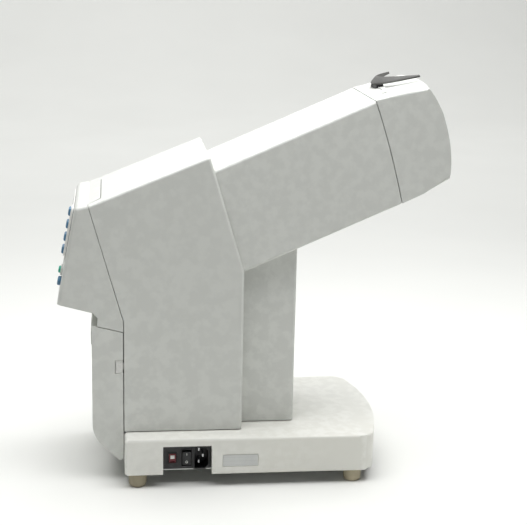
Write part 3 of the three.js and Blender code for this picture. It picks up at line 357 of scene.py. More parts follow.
class Surface:
    """A Principled material whose colour, roughness and bump come from procedural nodes."""

    def __init__(self, name, roughness=0.5, metallic=0.0, **sockets):
        self.material = bpy.data.materials.new(name)
        self.material.use_nodes = True
        self.tree = self.material.node_tree
        self.shader = self.tree.nodes["Principled BSDF"]
        self.shader.inputs["Metallic"].default_value = metallic
        self.shader.inputs["Roughness"].default_value = roughness
        for socket, value in sockets.items():
            self.shader.inputs[socket.replace("_", " ")].default_value = value
        self.where = self.node("ShaderNodeTexCoord").outputs["Object"]

    def node(self, kind, links=(), **settings):
        made = self.tree.nodes.new(kind)
        for key, value in settings.items():
            setattr(made, key, value)
        for socket, value in dict(links).items():
            if isinstance(value, bpy.types.NodeSocket):
                self.tree.links.new(value, made.inputs[socket])
            else:
                made.inputs[socket].default_value = value
        return made

    def noise(self, scale, detail=4.0, roughness=0.5, stretch=None):
        where = self.where
        if stretch:
            where = self.node("ShaderNodeMapping", {"Vector": where, "Scale": stretch}).outputs["Vector"]
        made = self.node("ShaderNodeTexNoise", {"Vector": where, "Scale": scale, "Detail": detail,
                                                "Roughness": roughness})
        return made.outputs["Fac"]

    def spread(self, value, low, high, to_low=0.0, to_high=1.0):
        made = self.node("ShaderNodeMapRange", {"Value": value, "From Min": low, "From Max": high,
                                                "To Min": to_low, "To Max": to_high})
        return made.outputs["Result"]

    def mix(self, factor, a, b):
        made = self.node("ShaderNodeMix", data_type="RGBA")
        for index, value in ((0, factor), (6, a), (7, b)):
            if isinstance(value, bpy.types.NodeSocket):
                self.tree.links.new(value, made.inputs[index])
            else:
                made.inputs[index].default_value = value
        return made.outputs[2]

    def arithmetic(self, operation, a, b):
        made = self.node("ShaderNodeMath", operation=operation)
        for index, value in enumerate((a, b)):
            if isinstance(value, bpy.types.NodeSocket):
                self.tree.links.new(value, made.inputs[index])
            else:
                made.inputs[index].default_value = value
        return made.outputs["Value"]

    def colour(self, socket):
        self.tree.links.new(socket, self.shader.inputs["Base Color"])

    def roughness(self, socket):
        self.tree.links.new(socket, self.shader.inputs["Roughness"])

    def bump(self, height, distance, strength=1.0):
        made = self.node("ShaderNodeBump", {"Height": height, "Distance": distance, "Strength": strength})
        self.tree.links.new(made.outputs["Normal"], self.shader.inputs["Normal"])

    def edges(self, low=0.515, high=0.56):
        """1 on outer edges and 0 elsewhere, broken up by noise: rubbed wear, partly a painted edge highlight.
        """
        point = self.node("ShaderNodeNewGeometry").outputs["Pointiness"]
        raw = self.spread(point, low, high)
        return self.arithmetic("MULTIPLY", raw, self.spread(self.noise(90, 3), 0.42, 0.6))


def shade(colour, factor):
    return (*(min(1.0, c * factor) for c in colour[:3]), 1.0)


def moulded(name, colour, roughness=0.42, grain=2600, grain_depth=0.00003, tint=None, edge_wear_and_highlight=1.1, blotch=0.006):
    """Satin moulded plastic: faint blotches, age tint, spark-eroded grain, and outer edges lightened as
    rubbed wear and partly as a painted edge highlight.
    """
    s = Surface(name, roughness, Specular_IOR_Level=0.45)
    blotches = s.spread(s.noise(14, 3), 0.35, 0.65)
    body = s.mix(blotches, shade(colour, 1 - blotch), shade(colour, 1 + blotch / 2))
    if tint:
        body = s.mix(s.spread(s.noise(5, 2), 0.35, 0.75, 0.0, 0.6), body, tint)
    specks = s.spread(s.noise(700, 2, 0.6), 0.66, 0.74, 0.0, 0.2)
    body = s.mix(specks, body, shade(colour, 0.9))
    # lighter outer edges: part rubbed wear, part painted edge highlight
    s.colour(s.mix(s.edges(), body, shade(colour, edge_wear_and_highlight)))
    s.roughness(s.spread(s.noise(60, 5, 0.6), 0.3, 0.7, roughness - 0.012, roughness + 0.018))
    grains = s.noise(grain, 2, 0.5)
    s.bump(s.arithmetic("ADD", grains, s.arithmetic("MULTIPLY", s.noise(220, 3), 0.6)), grain_depth)
    return s.material


def rubber(name, colour, roughness=0.62, dust=(0.5, 0.5, 0.48, 1)):
    """Soft rubber: dusty on its high spots, with a fine pebble."""
    s = Surface(name, roughness, Specular_IOR_Level=0.4)
    body = s.mix(s.spread(s.noise(35, 4), 0.3, 0.7), shade(colour, 0.8), shade(colour, 1.2))
    s.colour(s.mix(s.spread(s.noise(260, 4, 0.7), 0.55, 0.8, 0.0, 0.22), body, dust))
    s.roughness(s.spread(s.noise(80, 4), 0.3, 0.7, roughness - 0.1, roughness + 0.12))
    s.bump(s.noise(1500, 3), 0.00008)
    return s.material


def metal(name, colour, roughness, brushed=None, tarnish=0.88):
    """Machined or brushed metal with fine directional marks."""
    s = Surface(name, roughness, metallic=1.0)
    lines = s.noise(500, 3, 0.6, stretch=brushed or (1, 1, 1))
    s.colour(s.mix(s.spread(s.noise(40, 4), 0.3, 0.7), shade(colour, tarnish), shade(colour, 1.04)))
    s.roughness(s.spread(lines, 0.3, 0.7, roughness - 0.08, roughness + 0.12))
    s.bump(lines, 0.00003)
    return s.material


def glass(name, colour, roughness=0.03):
    s = Surface(name, roughness, Transmission_Weight=0.9, IOR=1.5)
    s.colour(s.mix(s.spread(s.noise(30, 3), 0.3, 0.7), shade(colour, 0.97), shade(colour, 1.0)))
    s.roughness(s.spread(s.noise(150, 5, 0.7), 0.55, 0.8, roughness, roughness + 0.12))
    return s.material


SHELL = moulded("shell_plastic", (0.63, 0.64, 0.612))
# The base is paler than the shell: partly its own yellowed plastic, partly painted light from the floor
# bounce on the low base.
BASE_SHELL = moulded("base_plastic", (0.80, 0.80, 0.76), tint=(0.78, 0.77, 0.70, 1))
WHITE = moulded("white_plastic", (0.80, 0.80, 0.775), roughness=0.38)
BLACK = moulded("black_plastic", (0.018, 0.018, 0.02), roughness=0.4, edge_wear_and_highlight=1.9, blotch=0.12)
BLUE = moulded("blue_key_plastic", (0.095, 0.22, 0.35), roughness=0.34, grain_depth=0.00001, edge_wear_and_highlight=1.3)
GREEN = moulded("green_key_plastic", (0.05, 0.42, 0.30), roughness=0.34, grain_depth=0.00001, edge_wear_and_highlight=1.3)
RED = moulded("fuse_red_plastic", (0.15, 0.012, 0.02), roughness=0.32, grain_depth=0.00001)
PAD = rubber("forehead_rubber", (0.11, 0.11, 0.105), dust=(0.32, 0.32, 0.3, 1))
FOOT = rubber("foot_rubber", (0.42, 0.37, 0.26), 0.55, dust=(0.55, 0.5, 0.4, 1))
ROLLER = rubber("roller_rubber", (0.02, 0.02, 0.022), 0.5)
STEEL = metal("brushed_steel", (0.55, 0.56, 0.57), 0.3, brushed=(0.05, 1, 1))
PLATE = metal("zinc_sheet", (0.6, 0.61, 0.6), 0.38)
BRASS = metal("machined_brass", (0.72, 0.5, 0.2), 0.28, brushed=(0.05, 1, 1))
ALUMINIUM = metal("machined_aluminium", (0.62, 0.63, 0.65), 0.33, brushed=(0.06, 1, 1))
GLASS = glass("coated_glass", (0.85, 0.93, 0.92, 1))


# ------------------------------------------------------------------ base


def base_plan(inset, steps=28):
    half = BASE["half"] - inset
    tip = BASE["length"] - inset
    bow, corner = BASE["bow"], BASE["corner"]
    bow_half = half - corner
    radius = (bow_half ** 2 + bow ** 2) / (2 * bow)
    angle = math.asin(bow_half / radius)
    side_end, bend = tip - bow - corner, tip - bow - 2
    points = [Vector((inset, half)), Vector((inset, -half)), Vector((side_end, -half))]
    points += curve(points[-1], (bend, -half), (tip - bow, -bow_half))
    for k in range(1, steps):
        turn = angle * (2 * k / steps - 1)
        points.append(Vector((tip - radius + radius * math.cos(turn), radius * math.sin(turn))))
    points.append(Vector((tip - bow, bow_half)))
    points += curve(points[-1], (bend, half), (side_end, half))
    return points


LABEL = {"x": (106, 144), "z": (9, 22)}


def hinge_lug(web, y):
    """A hinge lug: a web that ends in a round knuckle, bored for the pin."""
    knuckle = cylinder(KNUCKLE, 5, (HINGE[0], y - 2.5, HINGE[1]), "y", 40, 0.2)
    bore = cylinder(1.7, 12, (HINGE[0], y - 6, HINGE[1]), "y", 24)
    return cut(join(web, knuckle), bore)


def base_cover():
    plan = base_plan(0)
    shell = sweep(plan, (0, BASE["height"]), lambda p, s: (p[0], p[1], s), rim=3.2,
                  post_if=lambda p: p[0] < 1, segments=6)
    foot_trim = block((-5, 300), (-120, 120), (-10, 0.001))
    hollow = upward(base_plan(BASE["wall"]), -12, BASE["height"] - BASE["wall"])
    lining = block((ENTRY["x0"] - 2, ENTRY["x1"] + 2), (-98, ENTRY["face"] + 4), (-13, ENTRY["top"] + 2))
    cut(hollow, lining)
    notch = block((ENTRY["x0"], ENTRY["x1"]), (-110, ENTRY["face"] + 5), (-20, ENTRY["top"]))
    window = block((LABEL["x"][0] - GAP, LABEL["x"][1] + GAP), (-110, -98.2),
                   (LABEL["z"][0] - GAP, LABEL["z"][1] + GAP))
    cut(shell, foot_trim, hollow, notch, window)
    for y in (-57, 57):
        web = block((HINGE[0], 0.5), (y - 2.5, y + 2.5), (HINGE[1] - KNUCKLE, HINGE[1] + KNUCKLE))
        join(shell, hinge_lug(web, y))
    piece(shell, "base_moulding", BASE_SHELL, ["base_cover"])


def foot(number, x, y):
    profile = [(0, -13.7), (3.2, -13.7), (3.6, -14.5), (6.4, -14.5), (7.6, -14.2), (8.5, -13.6), (9.1, -12.7),
               (9.5, -11.4), (9.75, -9.5), (9.8, -7), (9.8, -1.1), (9.5, -0.6), (9.2, -0.4), (6.8, -0.4),
               (6.8, 0.9), (0, 0.9)]
    made = lathe(profile, (x, y, 0), sides=56)
    piece(made, f"rubber_foot_{number}", FOOT, [f"foot_{number}"], ease=0, smooth=50)


base_cover()
for index, (foot_x, foot_y) in enumerate([(14, -87), (14, 87), (251, -87), (251, 87)]):
    foot(index + 1, foot_x, foot_y)

# ------------------------------------------------------------------ power entry
SOCKET = {"x": 83, "width": 15, "height": 24, "floor": 16}


def socket_outline(inset):
    w, h = SOCKET["width"] / 2 - inset, SOCKET["height"] / 2 - inset
    cx, cz = SOCKET["x"], ENTRY["z"]
    return rounded([(cx - w, cz - h, 0.8), (cx + w - 4, cz - h, 0.8), (cx + w, cz - h + 4, 0.8),
                    (cx + w, cz + h - 4, 0.8), (cx + w - 4, cz + h, 0.8), (cx - w, cz + h, 0.8)], 4)


def power_entry():
    face, z = ENTRY["face"], ENTRY["z"]
    plate = block((ENTRY["x0"] + 0.6, ENTRY["x1"] - 0.6), (face, face + 2.5), (z - 12.9, z + 15.5), 0.5)
    body = block((43.5, 91.5), (face + 2, face + 34), (z - 12.9, z + 13.5))
    frame_lip = across(socket_outline(-1.3), 1.6, face - 0.1)
    switch_lip = block((61.2, 72.8), (face - 0.9, face + 1), (z - 10.4, z + 10.4), 0.4)
    fuse_lip = block((46.4, 56.6), (face - 0.7, face + 1), (z - 6.8, z + 6.8), 0.4)
    shell = join(plate, body, frame_lip, switch_lip, fuse_lip)
    socket = across(socket_outline(0), 40, face)
    switch_hole = block((61.8, 72.2), (face - 3, face + 40), (z - 9.2, z + 9.2))
    fuse_hole = block((51.5 - 4.2, 51.5 + 4.2), (face - 3, face + 40), (z - 5.4, z + 5.4))
    cut(shell, socket, switch_hole, fuse_hole)
    piece(shell, "power_entry_body", BLACK, ["inlet_module"], ease=0.25)


def contacts():
    back = ENTRY["face"] + SOCKET["floor"]
    carrier = across(socket_outline(GAP), 12, back + 6)
    piece(carrier, "contact_carrier", BLACK, ["inlet_contacts"])
    for index, (dx, dz) in enumerate(((-2.5, -7), (-2.5, 7), (2, 0))):
        x, z = SOCKET["x"] + dx, ENTRY["z"] + dz
        blade = block((x - 1, x + 1), (ENTRY["face"] + 5.5, back + 0.05), (z - 2, z + 2), 0.5)
        piece(blade, f"contact_blade_{index + 1}", STEEL, ease=0)


def rocker():
    h = 7.9
    side = [Vector((-3.4, -h)), Vector((-3.4, -h + 1.2))]
    side += curve(side[-1], (-0.6, 0), (-3.4, h - 1.2), 14)
    side += [Vector(p) for p in ((-3.4, h), (2, h), (7, 3), (7, -3), (2, -h))]
    solid = sweep(side, (-4.7, 4.7), lambda p, s: (s, p[0], p[1]), rim=0.5, segments=3,
                  rim_if=lambda a, b: a.x < 1 or b.x < 1)
    disc = cylinder(1.35, 3, (0, -4, -4.7), "y", 24, 0.05)
    dot_ring = cut(disc, cylinder(0.85, 5, (0, -5, -4.7), "y", 24, 0.05))
    bar = block((-0.28, 0.28), (-4, -1.5), (3.1, 6.3))
    slant = Matrix.Rotation(math.radians(8), 4, "X")
    home = Matrix.Translation((67, ENTRY["face"] + 2, ENTRY["z"])) @ slant
    for mark, name in ((dot_ring, "off_mark"), (bar, "on_mark")):
        common(mark, sweep(side, (-4.6, 4.6), lambda p, s: (s, p[0] - 0.12, p[1])))
        moved(mark, home)
        piece(mark, f"switch_{name}", WHITE, body="switch", ease=0)
    moved(solid, home)
    piece(solid, "rocker_switch", BLACK, ["power_switch"], body="switch", ease=0.15)


def fuse_drawer():
    x, face, z = 51.5, ENTRY["face"], ENTRY["z"]
    bar = block((x - 3.8, x + 3.8), (face - 1, face + 26), (z - 5, z + 5), 0.5)
    pocket = block((x - 2.3, x + 2.3), (face + 4, face + 23), (z - 3, z + 6))
    pull = block((x - 2.4, x + 2.4), (face - 2, face + 0.2), (z - 4.4, z - 3.2))
    cut(bar, pocket, pull)
    piece(bar, "fuse_holder_drawer", RED, ["fuse_drawer"], body="fuse_holder", ease=0.2)
    flag = block((x - 2.3, x + 2.3), (face - 1.15, face - 0.85), (z - 0.6, z + 3.4), 0.1, 1)
    piece(flag, "fuse_holder_flag", WHITE, body="fuse_holder", ease=0)
    barrel = cylinder(2.0, 16, (x, face + 5.5, z + 0.6), "y", 32)
    piece(barrel, "fuse_glass", GLASS, body="fuse_holder", ease=0)


def label():
    plate = block(LABEL["x"], (-98.95, -98.5), LABEL["z"], 0.15, 2)
    s = Surface("label_film", 0.35)
    height = s.node("ShaderNodeSeparateXYZ", {"Vector": s.where}).outputs["Z"]
    line = s.arithmetic("PINGPONG", height, 0.0021)
    ruled = s.spread(line, 0.0001, 0.00018, 0.35, 0.0)
    body = s.mix(s.spread(s.noise(50, 3), 0.3, 0.7), (0.60, 0.61, 0.60, 1), (0.67, 0.68, 0.67, 1))
    s.colour(s.mix(ruled, body, (0.35, 0.36, 0.37, 1)))
    s.roughness(s.spread(s.noise(90, 4), 0.3, 0.7, 0.28, 0.45))
    s.bump(s.noise(900, 2), 0.00001)
    piece(plate, "blank_rating_label", s.material, ["rating_label"], ease=0)


power_entry()
contacts()
rocker()
fuse_drawer()
label()

# ------------------------------------------------------------------ housing and column


def main_housing():
    left = [(SEAM_TOP[0], SEAM_TOP[1]), SEAM_FOOT, (0, HOUSING_FOOT)]
    right = [(HOUSING_X, HOUSING_FOOT), (HOUSING_X, CREASE_END), (TIP_X, top_plane(TIP_X))]
    outer = across([Vector(p) for p in left + right], BODY, rim=3.2, segments=6,
                   rim_if=lambda a, b: min(a.x, b.x) > TIP_X - 1 or min(a.y, b.y) > SEAM_TOP[1] - 1,
                   post_if=lambda p: p.x == TIP_X)
    w = WALL
    hollow = across([Vector(p) for p in (
        (SEAM_TOP[0] - 6, top_plane(SEAM_TOP[0] - 6) - w), (SEAM_FOOT[0] - 6, SEAM_FOOT[1]),
        (w, SEAM_FOOT[1] - 8), (w, HOUSING_FOOT - 5), (HOUSING_X - w, HOUSING_FOOT - 5),
        (HOUSING_X - w, CREASE_END), (TIP_X - w - 0.5, top_plane(TIP_X) - w - 1))], BODY - 2 * w)
    half = TUBE["width"] / 2 + GAP
    tube_outline = rectangle((-half, half), (-GAP, TUBE["height"] + GAP), 3.6, 6)
    tube_hole = moved(along(tube_outline, 125, 175), TUBE_LOCAL)
    tongue_hole = upward(tongue_plan(SEAM_TOP[0] - 4, TAB["gap"]), 260, 310)
    printer_hole = across([Vector(p) for p in ((-3, 24), (4, 24), (4, 152), (-3, 152))], 124)
    slots = [block((-6.4, 22.4), sorted((side * 64.4, side * 70.8)), (111.6, 120.4)) for side in (-1, 1)]
    cut(outer, hollow, tube_hole, tongue_hole, printer_hole, *slots)
    piece(outer, "housing_shell", SHELL, ["main_housing"])


def tongue_plan(x0, margin):
    """The tongue in plan: it tapers from its root at x0 to a rounded end."""
    end = SEAM_TOP[0] + TAB["reach"] + margin
    root, tip = TAB["root"] + margin, TAB["end"] + margin
    return rounded([(x0, -root), (end, -tip, TAB["corner"]), (end, tip, TAB["corner"]), (x0, root)], 8)


def rear_column():
    def plan(inset):
        x0, x1, half = COLUMN["x0"] + inset, COLUMN["x1"] - inset, COLUMN["half"] - inset
        return rounded([(x0, -half), (x1, -half, 4 - inset / 2), (x1, half, 4 - inset / 2), (x0, half)], 8)
    walls = cut(upward(plan(0), HOUSING_FOOT, 300), upward(plan(WALL), HOUSING_FOOT - 1, 301))
    cut(walls, moved(block((100, 260), (-70, 70), (-GAP, 250)), TUBE_LOCAL))
    piece(walls, "column_shell", SHELL, ["rear_column"])


main_housing()
rear_column()

# ------------------------------------------------------------------ viewing tube and head


def seam_outline(reach, shift):
    def x(z):
        return SEAM["foot"] + shift + SEAM["lean"] * z / TUBE["height"]
    middle, top = TUBE["height"] / 2, TUBE["height"] + 10
    points = [Vector((reach, -10)), Vector((x(-10), -10))]
    points += curve(points[-1], (x(middle) + SEAM["bulge"], middle), (x(top), top), 24)
    return points + [Vector((reach, top))]


def tube_section(inset, radius):
    half, top = TUBE["width"] / 2 - inset, TUBE["height"] - inset
    return rectangle((-half, half), (inset, top), radius, 8)


def viewing_tube():
    shell = along(tube_section(0, 3.6), TUBE["from"], 345)
    cut(shell, along(tube_section(WALL, 1.2), TUBE["from"] - 1, 346))
    cut(shell, across(seam_outline(420, 0), 160), block((146, 202), (-31, 31), (-2, 6)))
    piece(shell, "tube_shell", SHELL, ["viewing_tube"], place=TUBE_FRAME)


def head_side(inset):
    i = inset
    points = [Vector((300, i)), Vector((352, i + 1.2)), Vector((HEAD["chin"] - i, HEAD["chin_z"] + i))]
    points += curve(points[-1], (HEAD["belly"] - 2.4 - i, 32), (HEAD["belly"] - i, HEAD["belly_z"]), 16)
    points += curve(points[-1], (HEAD["belly"] - 1 - i, 95), (HEAD["top"] - i, HEAD["top_z"] - i), 12)
    return points + [Vector((HEAD["seam"], HEAD["seam_z"] - i)), Vector((300, TUBE["height"] - i))]


def bowed(p, y):
    """A point of the head's side view, carried forward where the front swells in plan."""
    share = min(1, max(0, (p[0] - 345) / (HEAD["chin"] - 345)))
    reach = share * HEAD["bow"] * (1 - (abs(y) / (TUBE["width"] / 2)) ** 2)
    return (p[0] + reach, y, p[1] - reach * HEAD_DROP)


def head_block(inset, rim=0.0):
    half = TUBE["width"] / 2 - inset
    stations = [half * (2 * k / 24 - 1) for k in range(25)]
    return sweep(head_side(inset), stations, bowed, rim=rim, segments=6,
                 rim_if=lambda a, b: min(a.x, b.x) > 310)


PORT = {"z": 52, "width": 92, "height": 44, "depth": 16, "glass": (78, 32)}


def port_outline(width, height, radius=8):
    w, h, z = width / 2, height / 2, PORT["z"]
    return rectangle((-w, w), (z - h, z + h), radius, 10)


def head_cap():
    shell = head_block(0, 3.6)
    cut(shell, head_block(WALL), across(seam_outline(280, SEAM["gap"]), 160),
        along(port_outline(PORT["width"], PORT["height"]), 360, 420))
    piece(shell, "head_shell", SHELL, ["head_cap"], place=TUBE_FRAME, ease=0.5)


def port_bezel():
    rear = HEAD["belly"] - PORT["depth"]
    width, height = PORT["glass"]
    body = common(along(port_outline(PORT["width"] - 2 * GAP, PORT["height"] - 2 * GAP, 7.6), rear, 420),
                  head_block(0.8))
    funnel = sweep(port_outline(1, 1, 0.2), (0, 1), lambda p, s: funnel_point(p, s, rear))
    seat = along(port_outline(width, height, 6), rear + 2, rear + 6)
    cut(body, funnel, seat)
    piece(body, "port_bezel_ring", BLACK, ["port_bezel"], place=TUBE_FRAME, ease=0.4)
    window = along(port_outline(width - 2 * GAP, height - 2 * GAP, 5.6), rear + 2 + GAP, rear + 4 + GAP)
    piece(window, "port_glass", GLASS, ["port_window"], place=TUBE_FRAME, ease=0.2)


def funnel_point(p, s, rear):
    """The bezel's opening widens from just inside the glass to near the rim of the port."""
    if s == 0:
        x, width, height = rear - 1, PORT["glass"][0] - 6, PORT["glass"][1] - 6
    else:
        x, width, height = rear + PORT["depth"] + 7, PORT["width"] - 5, PORT["height"] - 5
    return (x, p[0] * width, PORT["z"] + (p[1] - PORT["z"]) * height)


viewing_tube()
head_cap()
port_bezel()

# ------------------------------------------------------------------ forehead rest
REST = {"centre": -129, "swing": math.radians(11.8), "half": 43, "horn": 128, "tip": 3,
        "back": 89, "inner": 98.5, "low": 4.2, "rim": 2, "middle": 11.4, "end": 6}
RAIL = {"radius": 94, "width": 5, "height": 1.2, "reach": math.radians(20)}
SHOE = {"half": 4.2, "reach": math.radians(5), "low": 0.4, "high": 3.9}


def arc_band(middle, half, reach, steps=32):
    """A band along an arc of the rail's circle, from its middle radius and half width."""
    points = []
    for radius, sense in ((middle + half, 1), (middle - half, -1)):
        for k in range(steps + 1):
            turn = sense * reach * (2 * k / steps - 1)
            points.append(Vector((REST["centre"] + radius * math.cos(turn), radius * math.sin(turn))))
    return points


def to_eye(obj):
    """Turns a piece of the rest about the rail's centre, from mid-head to the eye it serves."""
    centre = Matrix.Translation((REST["centre"], 0, 0))
    return moved(obj, centre @ Matrix.Rotation(REST["swing"], 4, "Z") @ centre.inverted())


def horn_curve(middle, half, share):
    """A point of a plan curve from horn to horn, nearest the rail's centre at mid-width."""
    reach = (REST["horn"] - middle) * (1 - 2 * share) ** 2
    return Vector((REST["centre"] + middle + reach, half * (2 * share - 1)))


def horseshoe():
    """The pad's solid: a thin outer wall, and a top that rises to a ridge along the inner edge."""
    low, rim = REST["low"], REST["rim"]

    def place(p, share):
        outer = horn_curve(REST["back"], REST["half"], share)
        inner = horn_curve(REST["inner"], REST["half"] - REST["tip"], share)
        ridge = REST["end"] + (REST["middle"] - REST["end"]) * (1 - (inner.y / REST["half"]) ** 2)
        spot = outer.lerp(inner, p[0])
        return (spot.x, spot.y, low + p[1] * rim + p[2] * (ridge - low - rim))
    # Each point: its share of the way to the inner edge, of the rim's height and of the ridge's rise.
    underside = [(0, 0.3, 0), (0.05, 0, 0), (0.95, 0, 0), (1, 0.3, 0)]
    ridge_round = [(1, 1, 0.72), (0.985, 1, 0.9), (0.94, 1, 0.985), (0.87, 1, 1)]
    slope = [(0.7, 1, 0.85), (0.4, 1, 0.5), (0.15, 1, 0.16), (0.04, 0.95, 0), (0, 0.7, 0)]
    return sweep(underside + ridge_round + slope, [k / 48 for k in range(49)], place)


def forehead_rest():
    pad = to_eye(horseshoe())
    piece(pad, "forehead_pad", PAD, ["forehead_rest"], body="rest", place=HEAD_FRAME, ease=0, smooth=50)
    half, radius = RAIL["width"] / 2, RAIL["radius"]
    rail = upward(arc_band(radius, half, RAIL["reach"]), 0.3, RAIL["height"])
    piece(rail, "rest_guide_rail", SHELL, ["rest_rail"], place=HEAD_FRAME)
    shoe = upward(arc_band(radius, SHOE["half"], SHOE["reach"]), SHOE["low"], SHOE["high"])
    cut(shoe, upward(arc_band(radius, half + GAP / 2, 0.5), -1, RAIL["height"] + GAP))
    to_eye(shoe)
    piece(shoe, "rest_slider", BLACK, ["rest_shoe"], body="rest", place=HEAD_FRAME)


forehead_rest()

# ------------------------------------------------------------------ operator's panel
FASCIA = {"y": (-55, 56), "z": (4.5, 65), "low": 5.3, "high": 6.3}
DISPLAY = {"y": (-25, 48), "z": (11, 58)}
KEY = {"y": -41, "first": 11.8, "pitch": 13.9, "count": 4, "width": 14, "height": 8, "top": 10.3,
       "collar": 7.9}
START = {"y": -41, "z": 76.4, "radius": 3.9, "top": 9.8, "collar": 7.4}
PRINT = {"y": -41, "z": 89, "radius": 5, "top": 8.8}
KEY_ROWS = [KEY["first"] + i * KEY["pitch"] for i in range(KEY["count"])]


def on_panel(out, down):
    """A point of the side view, from its distance off the panel's edge line and down it."""
    return Vector((PANEL["x"] - out * math.cos(LEAN) - down * math.sin(LEAN),
                   PANEL["z"] + out * math.sin(LEAN) - down * math.cos(LEAN)))


def panel_plate(y, z, x0, x1, corner, rim=0.0):
    outline = rectangle(y, z, corner, 6)
    if rim:
        return along(outline, x0, x1, rim=rim, segments=3)
    return along(outline, x0, x1)


def control_head():
    gap = 1.5 * GAP
    foot = door_top(0) + 2 * GAP

    def under(x):
        return foot + DOOR["slope"] * x
    stand = PANEL["stand"]
    top_front, low_front = on_panel(stand, 1.5), on_panel(stand, PANEL["length"])
    outline = rounded([
        top_front, (SEAM_TOP[0] - gap, SEAM_TOP[1] + 0.6), (SEAM_FOOT[0] - gap, SEAM_FOOT[1]),
        (SEAM_FOOT[0] - gap, under(-gap)), (-28.4, under(-28.4), 0.5), (-27.8, 171, 2.5), (-32, 176.2, 1.5),
        low_front], 5)
    front = {tuple(top_front), tuple(low_front)}
    shell = across(outline, BODY, rim=4.2, segments=7,
                   rim_if=lambda a, b: tuple(a) in front and tuple(b) in front or tuple(a) == tuple(top_front)
                   or tuple(b) == tuple(top_front), post_if=lambda p: tuple(p) == tuple(top_front))
    inside = across([
        on_panel(stand - WALL, 5), Vector((SEAM_TOP[0] + 8, top_plane(SEAM_TOP[0] + 8) - WALL)),
        Vector((SEAM_FOOT[0] + 8, SEAM_FOOT[1])), Vector((SEAM_FOOT[0] + 8, under(0) + WALL)),
        Vector((-26, under(-26) + WALL)), Vector((-25.2, 172)), Vector((-30.5, 178.6)),
        on_panel(stand - WALL, PANEL["length"] - WALL)], BODY - 2 * WALL)
    cut(shell, inside)
    collar = lathe([(0, stand - 1), (6.2, stand - 1), (6.2, START["collar"] - 0.8), (5.6, START["collar"]),
                    (0, START["collar"])], (0, START["y"], START["z"]), "x")
    x0, x1 = SEAM_TOP[0] - 4, SEAM_TOP[0] + TAB["reach"]
    strip = across([Vector((x0, top_plane(x0) - WALL)), Vector((x1, top_plane(x1) - WALL)),
                    Vector((x1, top_plane(x1) + TAB["proud"])), Vector((x0, top_plane(x0)))], 140)
    tongue = common(strip, upward(tongue_plan(x0, 0), 260, 320))
    join(shell, moved(collar, PANEL_LOCAL), tongue)
    (y0, y1), (z0, z1) = FASCIA["y"], FASCIA["z"]
    holes = [panel_plate((y0 + 3, y1 - 3), (z0 + 2, z1 - 3), 0, 9, 3)]
    for key in (START, PRINT):
        holes.append(cylinder(key["radius"] + 0.4, 9, (0, key["y"], key["z"]), "x", 40, 0.01))
    cut(shell, *[moved(hole, PANEL_LOCAL) for hole in holes])
    piece(shell, "control_shell", SHELL, ["control_head"])


def fascia():
    plate = panel_plate(FASCIA["y"], FASCIA["z"], FASCIA["low"], FASCIA["high"], 6, 0.4)
    ridge = panel_plate((KEY["y"] - 9.5, KEY["y"] + 9.5), (FASCIA["z"][0] + 1, KEY_ROWS[-1] + 6.5),
                        FASCIA["low"], KEY["collar"], 4, 0.9)
    join(plate, ridge)
    tools = [panel_plate(DISPLAY["y"], DISPLAY["z"], 0, 12, 2)]
    w, h = KEY["width"] / 2 + 0.4, KEY["height"] / 2 + 0.4
    tools += [panel_plate((KEY["y"] - w, KEY["y"] + w), (z - h, z + h), 0, 12, 1.6) for z in KEY_ROWS]
    cut(plate, *tools)
    piece(plate, "fascia_plate", WHITE, ["panel_fascia"], place=PANEL_FRAME, ease=0.3)


def menu_key(number, z):
    w, h = KEY["width"] / 2, KEY["height"] / 2
    outline = rectangle((-w, w), (-h, h), 1.3, 5)
    heights = [-0.5, 9.0, 9.6, 10.05, KEY["top"]]
    inward = [0, 0, 0.35, 0.9, 2.2]

    def place(p, s):
        shrink = [inward[i] for i, height in enumerate(heights) if height == s][0]
        return (s, p[0] * (1 - shrink / w), p[1] * (1 - shrink / h))
    cap = sweep(outline, heights, place)
    skirt = along(rectangle((-w - 1, w + 1), (-h - 1, h + 1), 1.3, 5), -0.5, 4.9)
    join(cap, skirt)
    moved(cap, Matrix.Translation((0, KEY["y"], z)))
    piece(cap, f"menu_key_cap_{number}", BLUE, [f"menu_key_{number}"], body=f"key_{number}",
          place=PANEL_FRAME, ease=0.15, smooth=40)


def round_key(key, name, node, body, material):
    r, top = key["radius"], key["top"]
    crown = [(r, top - 1.2), (r - 0.15, top - 0.75), (r - 0.6, top - 0.35), (r * 0.6, top - 0.08), (0, top)]
    made = lathe([(0, -0.5), (r + 1.2, -0.5), (r + 1.2, 2), (r, 2)] + crown, (0, key["y"], key["z"]), "x", 56)
    piece(made, name, material, [node], body=body, place=PANEL_FRAME, ease=0, smooth=40)


def display():
    y = (DISPLAY["y"][0] + 0.4, DISPLAY["y"][1] - 0.4)
    z = (DISPLAY["z"][0] + 0.4, DISPLAY["z"][1] - 0.4)
    window = panel_plate(y, z, FASCIA["low"] - 1, FASCIA["high"] - 0.2, 1.6, 0.25)
    s = Surface("display_lens", 0.08, Specular_IOR_Level=0.6)
    s.colour(s.mix(s.spread(s.noise(20, 2), 0.3, 0.7), (0.012, 0.02, 0.028, 1), (0.02, 0.032, 0.04, 1)))
    s.roughness(s.spread(s.noise(120, 5, 0.7), 0.5, 0.75, 0.06, 0.2))
    piece(window, "display_lens", s.material, ["display_window"], place=PANEL_FRAME, ease=0)


control_head()
fascia()
display()
for index, row in enumerate(KEY_ROWS):
    menu_key(index + 1, row)
round_key(START, "start_key_cap", "start_key", "key_start", GREEN)
round_key(PRINT, "print_key_cap", "print_key", "key_print", BLUE)

# ------------------------------------------------------------------ printer door and catches


